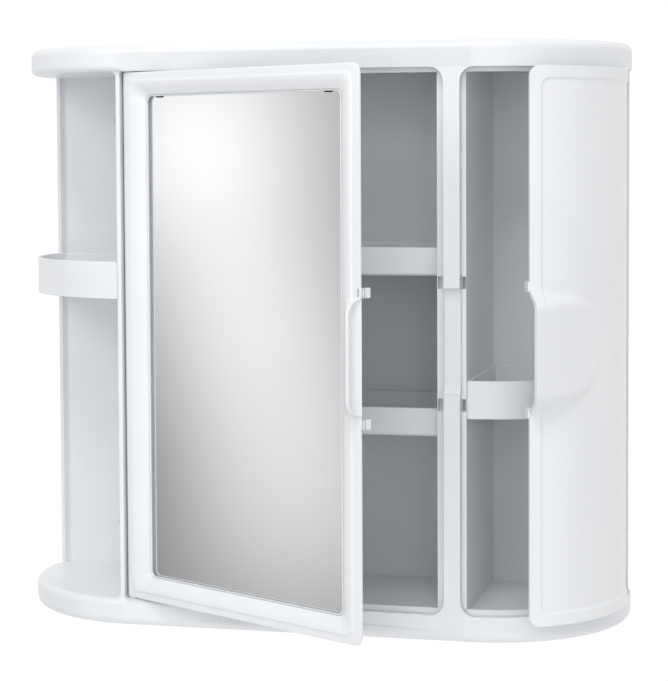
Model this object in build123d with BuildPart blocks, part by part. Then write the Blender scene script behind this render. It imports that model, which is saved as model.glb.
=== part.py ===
from build123d import *
from math import asin, cos, degrees, radians, sin
import os

os.makedirs("parts", exist_ok=True)

# Medicine cabinet for a wall. X runs to the right, Y into the wall, Z up.
# The origin lies on the wall, in the middle of the four wall screw holes.

# Cabinet outline
width = 575.0
height = 530.0
depth = 158.0
rear_depth = 30.0
rear_radius = 50.0
slab = 24.0
slab_round = 8.0
bay_end_round = 6.0

# Walls and fits of the mouldings
skin = 2.6
panel = 3.0
plug_gap = 0.15
overcut = 1.0

# Door rebate
seat_depth = 10.4
curb = 4.3
curb_wall = 3.0
curb_end_angle = 1.0

# Centre upright and left divider
right_bay = 132.5
upright_width = 26.1
upright_wall = 2.8
mirror_seat_width = 7.5
pillar_width = 14.6
pillar_round = 2.0
corner_fillet = 13.0
scoop_depth = 5.0
scoop_top = 48.0
scoop_bottom = -46.0
scoop_ramp = 11.0
left_bay = 120.7
divider = 3.8
divider_setback = 6.5
divider_flare = 5.0

# Shelves: lower edge of each band, and its height
tray_height = 33.7
left_tray_z = 34.7
right_tray_z = -68.4
shelf_height = 25.4
upper_shelf_z = 56.7
lower_shelf_z = -87.0
left_tray_inset = 4.0
right_tray_inset = 15.0
shelf_clearance = 2.5
shelf_edge_round = 3.0
tab_width = 14.0
tab_height = 5.0
tab_length = 2.4
tab_lift = 9.0
tab_places = (-110.0, -35.0)

# Back panel
panel_inset = 2.0
return_wall = 3.0
left_return = 9.0
right_return = 20.5
cove = 4.0
return_reach = 16.0
tongue_inset = 25.0
tongue_height = 12.0
wall_hole_radius = 2.5
wall_hole_half_x = 220.0
wall_hole_half_z = 200.0

# Self-tapping screws of the back panel
screw_radius = 1.2
screw_head_radius = 3.0
screw_length = 14.0
screw_gap = 0.1
screw_hole_radius = 1.6
screw_head = 1.6
boss_radius = 3.8
boss_length = 17.0
slab_screw_inset = 65.0
slab_screw_rise = 8.2
upright_screw_z = 150.0
boss_block = 12.0

# Hinge pins and bushes
pin_radius = 3.0
pin_gap = 0.05
pin_in_door = 12.0
pin_in_bush = 9.5
bush_radius = 5.0
bush_length = 12.0
bush_flange_radius = 6.5
bush_clearance = 0.1
bush_boss_radius = 8.2

# Mirror door, measured from its hinge axis
mirror_hinge_gap = 2.1
mirror_hinge_depth = 14.0
mirror_open_angle = 28.9
knuckle_radius = 7.0
mirror_overlap = 1.6
door_top_gap = 1.0
mirror_depth = 21.0
crest_y = -8.0
flange_drop = 1.2
flange = 2.8
flange_width = 8.6
free_corner = 8.5
crest_draft_angle = 30.0
tray_gap = 1.5
rear_inset = 16.2
tray_corner = 7.0
dish_steps = ((10.5, 0.0), (14.0, 0.8), (20.0, 4.0), (24.3, 7.0))
dish_corner = 6.0
dish_corner_growth = 0.25
groove_width = 1.2
groove_depth = 1.5
window_margin = 26.5
slimmer_ends = 0.83
window_corner = 5.0
skirt = 2.5
glass_drop = 10.5
glass = 3.0
glass_overlap = 6.0
door_back = 2.0
backing = mirror_depth - glass_drop - glass - door_back
clip_inset = 15.6
clip_width = 8.0
clip_thickness = 0.8
clip_reach = 1.2

# Finger pull on the mirror door
pull_rise = 15.0
pull_top = 47.0
pull_bottom = -49.0
pull_ramp = 13.0
pull_width = 22.0
pull_root = 6.5
pull_rim = 2.5
pull_wall = 2.6
pull_hollow = 5.0

# Catch tabs of both doors: lower and upper edge of each
catch_levels = ((48.0, 56.5), (-60.0, -51.5))
catch_slot_gap = 1.3
mirror_catch_out = 4.4
mirror_catch_back = 6.0
catch_thickness = 3.0
side_catch_out = 1.6
side_catch_back = 8.0

# Side door, measured from its hinge axis
side_hinge_inset = 20.3
side_hinge_y = -38.0
side_open_angle = 27.2
side_inset = 7.0
side_skin = 3.1
side_free_gap = 2.0
side_rear_y = -29.0
side_corner = 10.0
border = 11.0
border_corner = 8.0
field_drop = 1.2
field_end_angle = -12.0
side_rib = 9.0
side_rib_wall = 2.6
arm_height = 12.0
arm_radius = 6.5
hinge_sweep = 17.5

# Grip of the side door: a swelling over the finger space, open at the free edge
grip_rise = 19.5
grip_end_angle = -53.8
grip_top = 50.0
grip_bottom = -56.0
grip_length = 71.0
grip_far_top = 22.0
grip_far_bottom = -21.0
grip_far_corner = 14.0
grip_draft_angle = 35.0
grip_flank_depth = 30.0
grip_wall = 2.8

# Places worked out from the sizes above
end_radius = depth - rear_depth
top_z = height / 2
bay_z = top_z - slab
parting_z = top_z - slab_round
end_x = width / 2 - end_radius
mid_y = -rear_depth
rear_x = width / 2 - rear_radius
front_y = -depth
seat_y = front_y + seat_depth
upright_right = width / 2 - right_bay
upright_left = upright_right - upright_width
pillar_left = upright_left + mirror_seat_width
pillar_right = pillar_left + pillar_width
divider_left = left_bay - width / 2
divider_right = divider_left + divider
mirror_hinge_x = divider_right + knuckle_radius + mirror_hinge_gap
mirror_hinge_y = front_y + mirror_hinge_depth
side_hinge_x = width / 2 - side_hinge_inset
side_free_x = pillar_right + side_free_gap
shelf_front = mirror_hinge_y + crest_y + mirror_depth + shelf_clearance
tongue_half_width = width / 2 - tongue_inset
slab_screw_x = (slab_screw_inset - width / 2, 0.0, width / 2 - slab_screw_inset)
door_z = bay_z - door_top_gap
mirror_length = upright_left + mirror_overlap - mirror_hinge_x
screw_rise_z = bay_z + slab_screw_rise


def plan_outline(inset, back):
    """Plan of the rounded ends, 'inset' inside the widest outline and cut off at y = -back."""
    rear_turn = degrees(asin((-back - mid_y) / (rear_radius - inset)))
    with BuildSketch() as plan:
        with BuildLine():
            end = CenterArc((end_x, mid_y), end_radius - inset, -90, 90)
            rear = CenterArc((rear_x, mid_y), rear_radius - inset, 0, rear_turn)
            Line((0, mid_y - end_radius + inset), end @ 0)
            Line(rear @ 1, (0, -back))
            mirror(about=Plane.YZ)
        make_face()
    return plan.sketch


def box_between(low, high):
    """Plain block between two opposite corners, kept out of the part that is being built."""
    size = [high[i] - low[i] for i in range(3)]
    centre = [(high[i] + low[i]) / 2 for i in range(3)]
    return Pos(*centre) * Box(*size, mode=Mode.PRIVATE)


def right_curb():
    """Plan of the curved curb behind the side door, up to the hinge arm."""
    curb_end_y = mid_y + (end_radius - seat_depth) * sin(radians(field_end_angle - curb_end_angle))
    with BuildSketch() as plan:
        add(plan_outline(seat_depth, rear_depth - plug_gap))
        add(plan_outline(seat_depth + curb_wall, rear_depth - plug_gap), mode=Mode.SUBTRACT)
        with Locations(((upright_right - width) / 2, 0)):
            Rectangle(width + upright_right, 2 * depth, mode=Mode.SUBTRACT)
        with Locations((0, curb_end_y + depth / 2)):
            Rectangle(width, depth, mode=Mode.SUBTRACT)
    return plan.sketch


def pillar_view():
    """Front view of the pillar, with its large fillets into the upper and lower bands."""
    reach = bay_z - corner_fillet
    with BuildSketch() as view:
        with BuildLine():
            for side in (-1, 1):
                turn = side * 90
                CenterArc((pillar_left - corner_fillet, side * reach), corner_fillet, 0, turn)
                CenterArc((pillar_right + corner_fillet, side * reach), corner_fillet, 180, -turn)
                Line((pillar_left - corner_fillet, side * bay_z), (pillar_right + corner_fillet, side * bay_z))
            Line((pillar_left, -reach), (pillar_left, reach))
            Line((pillar_right, -reach), (pillar_right, reach))
        make_face()
    return view.sketch


def end_round(radius):
    """What the rounded inner edge takes off the open left end of the top."""
    edge_x = -width / 2
    with BuildPart() as cutter:
        with BuildSketch(Plane.XZ.offset(-mid_y)) as corner:
            with BuildLine():
                CenterArc((edge_x + radius, bay_z + radius), radius, 180, 90)
                Polyline((edge_x + radius, bay_z), (edge_x + radius, bay_z - overcut),
                         (edge_x - overcut, bay_z - overcut), (edge_x - overcut, bay_z + radius),
                         (edge_x, bay_z + radius))
            make_face()
        revolve(corner.sketch, axis=Axis((-end_x, mid_y, 0), (0, 0, 1)), revolution_arc=90)
        rear_turn = degrees(asin(-mid_y / rear_radius))
        revolve(corner.sketch, axis=Axis((-rear_x, mid_y, 0), (0, 0, -1)), revolution_arc=rear_turn)
    return cutter.part


hinge_places = ((mirror_hinge_x, mirror_hinge_y), (side_hinge_x, side_hinge_y))

# Top: a tray, open upwards, with the door rebate and the curbs below it
with BuildPart() as top_case:
    with BuildSketch(Plane.XY.offset(bay_z)):
        add(plan_outline(0, 0))
    extrude(amount=slab - slab_round)
    with BuildSketch(Plane.XY.offset(bay_z + skin)):
        add(plan_outline(skin, panel + skin))
    extrude(amount=slab, mode=Mode.SUBTRACT)
    # Recess for the tongue of the back panel
    add(box_between((-tongue_half_width - plug_gap, -panel, bay_z),
                    (tongue_half_width + plug_gap, overcut, bay_z + tongue_height + plug_gap)),
        mode=Mode.SUBTRACT)
    # Curbs behind the doors
    add(box_between((mirror_hinge_x + knuckle_radius + skin, seat_y, bay_z - curb),
                    (upright_left, seat_y + curb_wall, bay_z)))
    with BuildSketch(Plane.XY.offset(bay_z)):
        add(right_curb())
    extrude(amount=-curb)
    # Bosses for the hinge bushes
    with BuildSketch(Plane.XY.offset(bay_z)):
        with Locations(*hinge_places):
            Circle(bush_boss_radius)
    extrude(amount=bush_length)
    with BuildSketch(Plane.XY.offset(bay_z)):
        with Locations(*hinge_places):
            Circle(bush_radius)
    extrude(amount=bush_length, mode=Mode.SUBTRACT)
    # Bosses for the screws of the back panel
    with BuildSketch(Plane.XZ.offset(panel)):
        with Locations(*[(x, screw_rise_z) for x in slab_screw_x]):
            Circle(boss_radius)
    extrude(amount=boss_length)
    with BuildSketch(Plane.XZ.offset(panel)):
        with Locations(*[(x, screw_rise_z) for x in slab_screw_x]):
            Circle(screw_radius + screw_gap)
    extrude(amount=boss_length - skin, mode=Mode.SUBTRACT)
    # Slots for the tabs of the left divider
    for tab_y in tab_places:
        add(box_between((divider_left - plug_gap, tab_y - tab_width / 2 - plug_gap, bay_z),
                        (divider_right + plug_gap, tab_y + tab_width / 2 + plug_gap, bay_z + skin)),
            mode=Mode.SUBTRACT)
    add(end_round(bay_end_round), mode=Mode.SUBTRACT)
top_case.part.label = "top_case"
export_step(top_case.part, "parts/top_case.step")

# Bottom: the same moulding upside down
with BuildPart() as bottom_case:
    add(mirror(top_case.part, about=Plane.XY, mode=Mode.PRIVATE))
bottom_case.part.label = "bottom_case"
export_step(bottom_case.part, "parts/bottom_case.step")

# Cover of the top, with the large edge round and a lip that drops into the case
with BuildPart() as top_cover:
    with BuildSketch(Plane.XY.offset(parting_z)):
        add(plan_outline(0, 0))
    extrude(amount=slab_round)
    upper_rim = top_cover.faces().sort_by(Axis.Z)[-1].edges()
    fillet(upper_rim.filter_by(lambda edge: edge.center().Y < -panel), slab_round - plug_gap)
    with BuildSketch(Plane.XY.offset(parting_z)):
        add(plan_outline(skin * 2, panel + skin * 2))
    extrude(amount=slab_round - skin, mode=Mode.SUBTRACT)
    with BuildSketch(Plane.XY.offset(parting_z)):
        add(plan_outline(skin + plug_gap, panel + skin + plug_gap))
        add(plan_outline(skin * 2, panel + skin * 2), mode=Mode.SUBTRACT)
    extrude(amount=-skin)
top_cover.part.label = "top_cover"
export_step(top_cover.part, "parts/top_cover.step")

with BuildPart() as bottom_cover:
    add(mirror(top_cover.part, about=Plane.XY, mode=Mode.PRIVATE))
bottom_cover.part.label = "bottom_cover"
export_step(bottom_cover.part, "parts/bottom_cover.step")

# Centre upright: a U section open to the wall, with the narrower pillar on its front
with BuildPart() as centre_upright:
    add(box_between((upright_left, seat_y, -bay_z), (upright_right, -panel, bay_z)))
    pillar_z = bay_z - corner_fillet
    with BuildSketch(Plane.XZ.offset(depth)):
        add(pillar_view())
    extrude(amount=-seat_depth)
    long_edges = centre_upright.edges().filter_by(Axis.Z).group_by(Axis.Y)[0]
    fillet(long_edges, pillar_round)
    add(box_between((upright_left + upright_wall, seat_y + upright_wall, -bay_z),
                    (upright_right - upright_wall, 0, bay_z)), mode=Mode.SUBTRACT)
    # Hollow of the pillar, shallower behind the finger scoop
    for low, high, front in ((-pillar_z + skin, scoop_bottom - scoop_ramp, front_y + skin),
                             (scoop_bottom - scoop_ramp, scoop_top + scoop_ramp, front_y + skin + scoop_depth),
                             (scoop_top + scoop_ramp, pillar_z - skin, front_y + skin)):
        add(box_between((pillar_left + skin, front, low),
                        (pillar_right - skin, seat_y + upright_wall, high)), mode=Mode.SUBTRACT)
    # Finger scoop across the front of the pillar
    with BuildSketch(Plane.YZ.offset(pillar_left - overcut)):
        with BuildLine():
            scoop_floor = front_y + scoop_depth
            scoop_front = front_y - overcut
            Line((scoop_floor, scoop_bottom + scoop_ramp), (scoop_floor, scoop_top - scoop_ramp))
            TangentArc((scoop_floor, scoop_top - scoop_ramp), (scoop_front, scoop_top), tangent=(0, 1))
            Line((scoop_front, scoop_top), (scoop_front, scoop_bottom))
            TangentArc((scoop_floor, scoop_bottom + scoop_ramp), (scoop_front, scoop_bottom), tangent=(0, -1))
        make_face()
    extrude(amount=pillar_width + 2 * overcut, mode=Mode.SUBTRACT)
    # Mouths for the catch tabs of both doors
    for low, high in catch_levels:
        add(box_between((upright_left + mirror_overlap / 2, seat_y - overcut, low - catch_slot_gap),
                        (pillar_left - plug_gap, seat_y + mirror_catch_back + catch_slot_gap, high + catch_slot_gap)),
            mode=Mode.SUBTRACT)
        add(box_between((pillar_right + plug_gap, seat_y - overcut, low - catch_slot_gap),
                        (upright_right + overcut, seat_y + side_catch_back + catch_slot_gap, high + catch_slot_gap)),
            mode=Mode.SUBTRACT)
    # Slots for the tabs of the shelves
    for tab_y in tab_places:
        for slot_z in (upper_shelf_z + tab_lift, lower_shelf_z + tab_lift):
            add(box_between((upright_left - overcut, tab_y - tab_width / 2 - plug_gap, slot_z - plug_gap),
                            (upright_left + upright_wall, tab_y + tab_width / 2 + plug_gap,
                             slot_z + tab_height + plug_gap)), mode=Mode.SUBTRACT)
        add(box_between((upright_right - upright_wall, tab_y - tab_width / 2 - plug_gap,
                         right_tray_z + tab_lift - plug_gap),
                        (upright_right + overcut, tab_y + tab_width / 2 + plug_gap,
                         right_tray_z + tab_lift + tab_height + plug_gap)), mode=Mode.SUBTRACT)
    # Screw blocks between the two walls
    for block_z in (-upright_screw_z, upright_screw_z):
        add(box_between((upright_left + upright_wall, -panel - boss_length, block_z - boss_block / 2),
                        (upright_right - upright_wall, -panel, block_z + boss_block / 2)))
    with BuildSketch(Plane.XZ.offset(panel)):
        with Locations(((upright_left + upright_right) / 2, upright_screw_z),
                       ((upright_left + upright_right) / 2, -upright_screw_z)):
            Circle(screw_radius + screw_gap)
    extrude(amount=boss_length - skin, mode=Mode.SUBTRACT)
centre_upright.part.label = "centre_upright"
export_step(centre_upright.part, "parts/centre_upright.step")

# Left divider: a thin wall that flares into the top and the bottom
with BuildPart() as left_divider:
    divider_front = front_y + divider_setback
    with BuildSketch(Plane.XZ.offset(-divider_front)):
        with BuildLine():
            Line((divider_right, -bay_z), (divider_right, bay_z))
            Line((divider_right, bay_z), (divider_left - divider_flare, bay_z))
            CenterArc((divider_left - divider_flare, bay_z - divider_flare), divider_flare, 0, 90)
            Line((divider_left, bay_z - divider_flare), (divider_left, divider_flare - bay_z))
            CenterArc((divider_left - divider_flare, divider_flare - bay_z), divider_flare, -90, 90)
            Line((divider_left - divider_flare, -bay_z), (divider_right, -bay_z))
        make_face()
    extrude(amount=divider_front + panel)
    long_front = left_divider.edges().filter_by(Axis.Z).group_by(Axis.Y)[0]
    fillet(long_front, divider / 2 - plug_gap)
    for tab_y in tab_places:
        for side in (-1, 1):
            inner = side * bay_z
            outer = side * (bay_z + tab_length)
            add(box_between((divider_left, tab_y - tab_width / 2, min(inner, outer)),
                            (divider_right, tab_y + tab_width / 2, max(inner, outer))))
        add(box_between((divider_left - overcut, tab_y - tab_width / 2 - plug_gap, left_tray_z + tab_lift - plug_gap),
                        (divider_left + tab_length + plug_gap, tab_y + tab_width / 2 + plug_gap,
                         left_tray_z + tab_lift + tab_height + plug_gap)), mode=Mode.SUBTRACT)
        for slot_z in (upper_shelf_z + tab_lift, lower_shelf_z + tab_lift):
            add(box_between((divider_right - tab_length - plug_gap, tab_y - tab_width / 2 - plug_gap,
                             slot_z - plug_gap),
                            (divider_right + overcut, tab_y + tab_width / 2 + plug_gap,
                             slot_z + tab_height + plug_gap)), mode=Mode.SUBTRACT)
left_divider.part.label = "left_divider"
export_step(left_divider.part, "parts/left_divider.step")

# Back panel: flat on the wall, with a coved return at the left and a deeper one at the right
screw_places = [(x, z) for x in slab_screw_x for z in (screw_rise_z, -screw_rise_z)]
screw_places += [((upright_left + upright_right) / 2, z) for z in (upright_screw_z, -upright_screw_z)]
wall_holes = [(x, z) for x in (-wall_hole_half_x, wall_hole_half_x)
              for z in (-wall_hole_half_z, wall_hole_half_z)]
with BuildPart() as back_panel:
    with BuildSketch(Plane.XY.offset(-bay_z)):
        add(plan_outline(panel_inset, 0))
        add(plan_outline(panel_inset + return_wall, panel), mode=Mode.SUBTRACT)
        with Locations((-width / 2, -depth / 2 - left_return)):
            Rectangle(width, depth, mode=Mode.SUBTRACT)
        with Locations((width / 2, -depth / 2 - right_return)):
            Rectangle(width, depth, mode=Mode.SUBTRACT)
    extrude(amount=2 * bay_z)
    inner_corners = back_panel.edges().filter_by(Axis.Z).filter_by(
        lambda edge: abs(edge.center().Y + panel) < plug_gap)
    fillet(inner_corners, cove)
    add(box_between((-tongue_half_width, -panel, -bay_z - tongue_height),
                    (tongue_half_width, 0, bay_z + tongue_height)))
    # Wall screw holes, countersunk at the front
    with BuildSketch(Plane.XZ):
        with Locations(*wall_holes):
            Circle(wall_hole_radius)
    extrude(amount=panel, mode=Mode.SUBTRACT)
    # Screw holes, counterbored at the wall side
    with BuildSketch(Plane.XZ):
        with Locations(*screw_places):
            Circle(screw_hole_radius)
    extrude(amount=panel, mode=Mode.SUBTRACT)
    with BuildSketch(Plane.XZ):
        with Locations(*screw_places):
            Circle(screw_head_radius + screw_gap)
    extrude(amount=screw_head, mode=Mode.SUBTRACT)
    front_rims = back_panel.edges().filter_by(GeomType.CIRCLE).filter_by(
        lambda edge: abs(edge.radius - wall_hole_radius) < plug_gap and edge.center().Y < -panel / 2)
    chamfer(front_rims, panel / 2)
back_panel.part.label = "back_panel"
export_step(back_panel.part, "parts/back_panel.step")

# Screws, one revolved form repeated
with BuildPart() as screw_form:
    with BuildSketch(Plane.XY):
        with BuildLine():
            Polyline((0, 0), (screw_head_radius, 0), (screw_head_radius, -screw_head), (screw_radius, -screw_head),
                     (screw_radius, -screw_length), (0, -screw_length), close=True)
        make_face()
    revolve(axis=Axis.Y)
with BuildPart() as back_panel_screws:
    with Locations(*[(x, 0, z) for x, z in screw_places]):
        add(screw_form.part)
back_panel_screws.part.label = "back_panel_screws"
export_step(back_panel_screws.part, "parts/back_panel_screws.step")


def side_tabs(face_x, direction, floor_z):
    """Two tabs on the side of a shelf that plug into the wall beside it."""
    low_x = min(face_x, face_x + direction * tab_length)
    high_x = max(face_x, face_x + direction * tab_length)
    return [box_between((low_x, tab_y - tab_width / 2, floor_z + tab_lift),
                        (high_x, tab_y + tab_width / 2, floor_z + tab_lift + tab_height))
            for tab_y in tab_places]


# Left tray: its rim follows the rounded end
with BuildPart() as left_tray:
    with BuildSketch(Plane.XY.offset(left_tray_z)):
        add(plan_outline(left_tray_inset, panel))
        with Locations(((width + divider_left) / 2, -depth / 2)):
            Rectangle(width - divider_left, depth * 2, mode=Mode.SUBTRACT)
        # Room for the return of the back panel
        with Locations((-width / 2, 0)):
            Rectangle(2 * return_reach, 2 * (left_return + plug_gap), mode=Mode.SUBTRACT)
    extrude(amount=tray_height)
    under = left_tray.faces().sort_by(Axis.Z)[0].edges()
    fillet(under.filter_by(lambda edge: edge.center().Y < -left_return * 2
                           and edge.center().X < divider_left - overcut), shelf_edge_round)
    with BuildSketch(Plane.XY.offset(left_tray_z + skin)):
        add(plan_outline(left_tray_inset + skin, left_return + skin))
        with Locations(((width + divider_left - skin) / 2, -depth / 2)):
            Rectangle(width - divider_left + skin, depth * 2, mode=Mode.SUBTRACT)
    extrude(amount=tray_height, mode=Mode.SUBTRACT)
    for tab in side_tabs(divider_left, 1, left_tray_z):
        add(tab)
left_tray.part.label = "left_tray"
export_step(left_tray.part, "parts/left_tray.step")


def middle_shelf(floor_z):
    """Shelf of the middle bay: a floor with an upright lip all round and four tabs."""
    with BuildPart() as shelf:
        add(box_between((divider_right, shelf_front, floor_z), (upright_left, -panel, floor_z + shelf_height)))
        front_edges = shelf.edges().filter_by(Axis.X).group_by(Axis.Y)[0]
        fillet(front_edges, shelf_edge_round)
        add(box_between((divider_right + skin, shelf_front + skin, floor_z + skin),
                        (upright_left - skin, -panel - skin, floor_z + shelf_height)), mode=Mode.SUBTRACT)
        for tab in side_tabs(divider_right, -1, floor_z) + side_tabs(upright_left, 1, floor_z):
            add(tab)
    return shelf.part


with BuildPart() as upper_shelf:
    add(middle_shelf(upper_shelf_z))
upper_shelf.part.label = "upper_shelf"
export_step(upper_shelf.part, "parts/upper_shelf.step")

with BuildPart() as lower_shelf:
    add(middle_shelf(lower_shelf_z))
lower_shelf.part.label = "lower_shelf"
export_step(lower_shelf.part, "parts/lower_shelf.step")

# Right tray: inside the sweep of the side door, cut back round its hinge
with BuildPart() as right_tray:
    for inset, floor, cut in ((0, right_tray_z, 0), (skin, right_tray_z + skin, 1)):
        left_x = upright_right + inset
        with BuildSketch(Plane.XY.offset(floor)):
            add(plan_outline(right_tray_inset + inset, panel + inset))
            with Locations(((left_x - width) / 2, -depth / 2)):
                Rectangle(width + left_x, depth * 2, mode=Mode.SUBTRACT)
            with Locations((side_hinge_x, side_hinge_y)):
                Circle(hinge_sweep + inset, mode=Mode.SUBTRACT)
            with Locations((side_hinge_x - hinge_sweep - inset + width / 2, side_hinge_y + width / 2)):
                Rectangle(width, width, mode=Mode.SUBTRACT)
        extrude(amount=tray_height, mode=Mode.SUBTRACT if cut else Mode.ADD)
    for tab in side_tabs(upright_right, -1, right_tray_z):
        add(tab)
right_tray.part.label = "right_tray"
export_step(right_tray.part, "parts/right_tray.step")


def bushes(x, y):
    """Flanged bearing bushes of one door, upper and lower."""
    with BuildPart() as pair:
        flange_z = door_z + bush_clearance
        with BuildSketch(Plane.XY.offset(flange_z)):
            with Locations((x, y)):
                Circle(bush_flange_radius)
        extrude(amount=bay_z - flange_z)
        with BuildSketch(Plane.XY.offset(bay_z)):
            with Locations((x, y)):
                Circle(bush_radius)
        extrude(amount=bush_length)
        with BuildSketch(Plane.XY.offset(flange_z)):
            with Locations((x, y)):
                Circle(pin_radius + pin_gap)
        extrude(amount=bay_z - flange_z + bush_length, mode=Mode.SUBTRACT)
        mirror(about=Plane.XY)
    return pair.part


with BuildPart() as mirror_door_bushes:
    add(bushes(mirror_hinge_x, mirror_hinge_y))
mirror_door_bushes.part.label = "mirror_door_bushes"
export_step(mirror_door_bushes.part, "parts/mirror_door_bushes.step")

with BuildPart() as side_door_bushes:
    add(bushes(side_hinge_x, side_hinge_y))
side_door_bushes.part.label = "side_door_bushes"
export_step(side_door_bushes.part, "parts/side_door_bushes.step")

# Both doors are drawn closed, about their own hinge axis, and then hung at their open angle
mirror_place = Location((mirror_hinge_x, mirror_hinge_y, 0), (0, 0, -mirror_open_angle))
side_place = Location((side_hinge_x, side_hinge_y, 0), (0, 0, side_open_angle))
frame_mid_x = (mirror_length - knuckle_radius) / 2
frame_width = mirror_length + knuckle_radius
mirror_rear = crest_y + mirror_depth
tray_z = bay_z - curb - tray_gap
tray_right = mirror_length - rear_inset
window_z = door_z - slimmer_ends * window_margin
glass_z = door_z - slimmer_ends * (window_margin - glass_overlap)
tray_left = knuckle_radius
clip_places = (window_margin - knuckle_radius + clip_inset, mirror_length - window_margin - clip_inset)


def door_rectangle(inset, corner):
    """Front view of the mirror door, 'inset' inside its outer edge and a little less at top and bottom."""
    with BuildSketch() as view:
        with Locations((frame_mid_x, 0)):
            RectangleRounded(frame_width - 2 * inset, 2 * (door_z - slimmer_ends * inset), corner)
    return view.sketch


def dish(drop):
    """Hollow that the frame forms round the mirror, lowered by 'drop'."""
    with BuildPart() as hollow:
        for inset, fall in dish_steps:
            with BuildSketch(Plane.XZ.offset(-crest_y - fall - drop)):
                add(door_rectangle(inset, dish_corner + (dish_steps[-1][0] - inset) * dish_corner_growth))
        loft()
    return hollow.part


def tray_rectangle(wall, corner):
    """Front view of the rear of the door inside its side walls."""
    low_x = -knuckle_radius if wall == 0 else tray_left
    high_x = tray_right - wall
    with BuildSketch() as view:
        with Locations(((low_x + high_x) / 2, 0)):
            RectangleRounded(high_x - low_x, 2 * (tray_z - wall), corner)
    return view.sketch


# Channel behind the dished face, between the side walls and the seat of the glass
seat_plane = crest_y + glass_drop
with BuildPart() as frame_channel:
    with BuildSketch(Plane.XZ.offset(-crest_y - flange)):
        add(tray_rectangle(skin, tray_corner - skin))
        add(door_rectangle(window_margin - skirt, dish_corner), mode=Mode.SUBTRACT)
    extrude(amount=-(glass_drop - flange))
    add(dish(skin), mode=Mode.SUBTRACT)

# Finger pull: a lip that rises towards the free edge, hollowed on the pillar's side
pull_tip = crest_y - pull_rise
pull_base = mirror_length - pull_width
with BuildPart() as pull_form:
    with BuildSketch(Plane.XY.offset(pull_bottom)):
        with BuildLine():
            ramp_low = (pull_base, crest_y + pull_root)
            ramp_high = (mirror_length - pull_rim, pull_tip)
            ramp_mid = ((ramp_low[0] + ramp_high[0] + pull_rim) / 2, (ramp_low[1] + ramp_high[1] + pull_rim) / 2)
            ThreePointArc(ramp_low, ramp_mid, ramp_high)
            TangentArc(ramp_high, (mirror_length, pull_tip + pull_rim), tangent=(1, 0))
            Line((mirror_length, pull_tip + pull_rim), (mirror_length, crest_y + flange_drop + flange))
            Line((mirror_length, crest_y + flange_drop + flange), ramp_low)
        make_face()
    extrude(amount=pull_top - pull_bottom)
    with BuildSketch(Plane.YZ.offset(pull_base - overcut)) as pull_side:
        with Locations(((pull_tip + overcut) / 2, (pull_top + pull_bottom) / 2)):
            Rectangle(overcut - pull_tip, pull_top - pull_bottom)
        fillet(pull_side.vertices().group_by(Axis.X)[0], pull_ramp)
    extrude(amount=pull_width + 2 * overcut, mode=Mode.INTERSECT)
with BuildPart() as pull_hollow_form:
    with BuildSketch(Plane.XY.offset(pull_bottom + pull_ramp / 2)):
        with BuildLine():
            mouth_front = (mirror_length + overcut, pull_tip + pull_rim)
            mouth_rear = (mirror_length + overcut, crest_y + flange_drop / 2)
            deepest = (mirror_length - pull_hollow, (mouth_front[1] + mouth_rear[1]) / 2 + pull_wall)
            ThreePointArc(mouth_front, deepest, mouth_rear)
            Line(mouth_rear, mouth_front)
        make_face()
    extrude(amount=pull_top - pull_bottom - pull_ramp)
    hollow_ends = pull_hollow_form.faces().sort_by(Axis.Z)
    fillet(hollow_ends[0].edges().filter_by(GeomType.CIRCLE), pull_hollow / 2)
    fillet(pull_hollow_form.faces().sort_by(Axis.Z)[-1].edges().filter_by(GeomType.CIRCLE), pull_hollow / 2)

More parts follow.
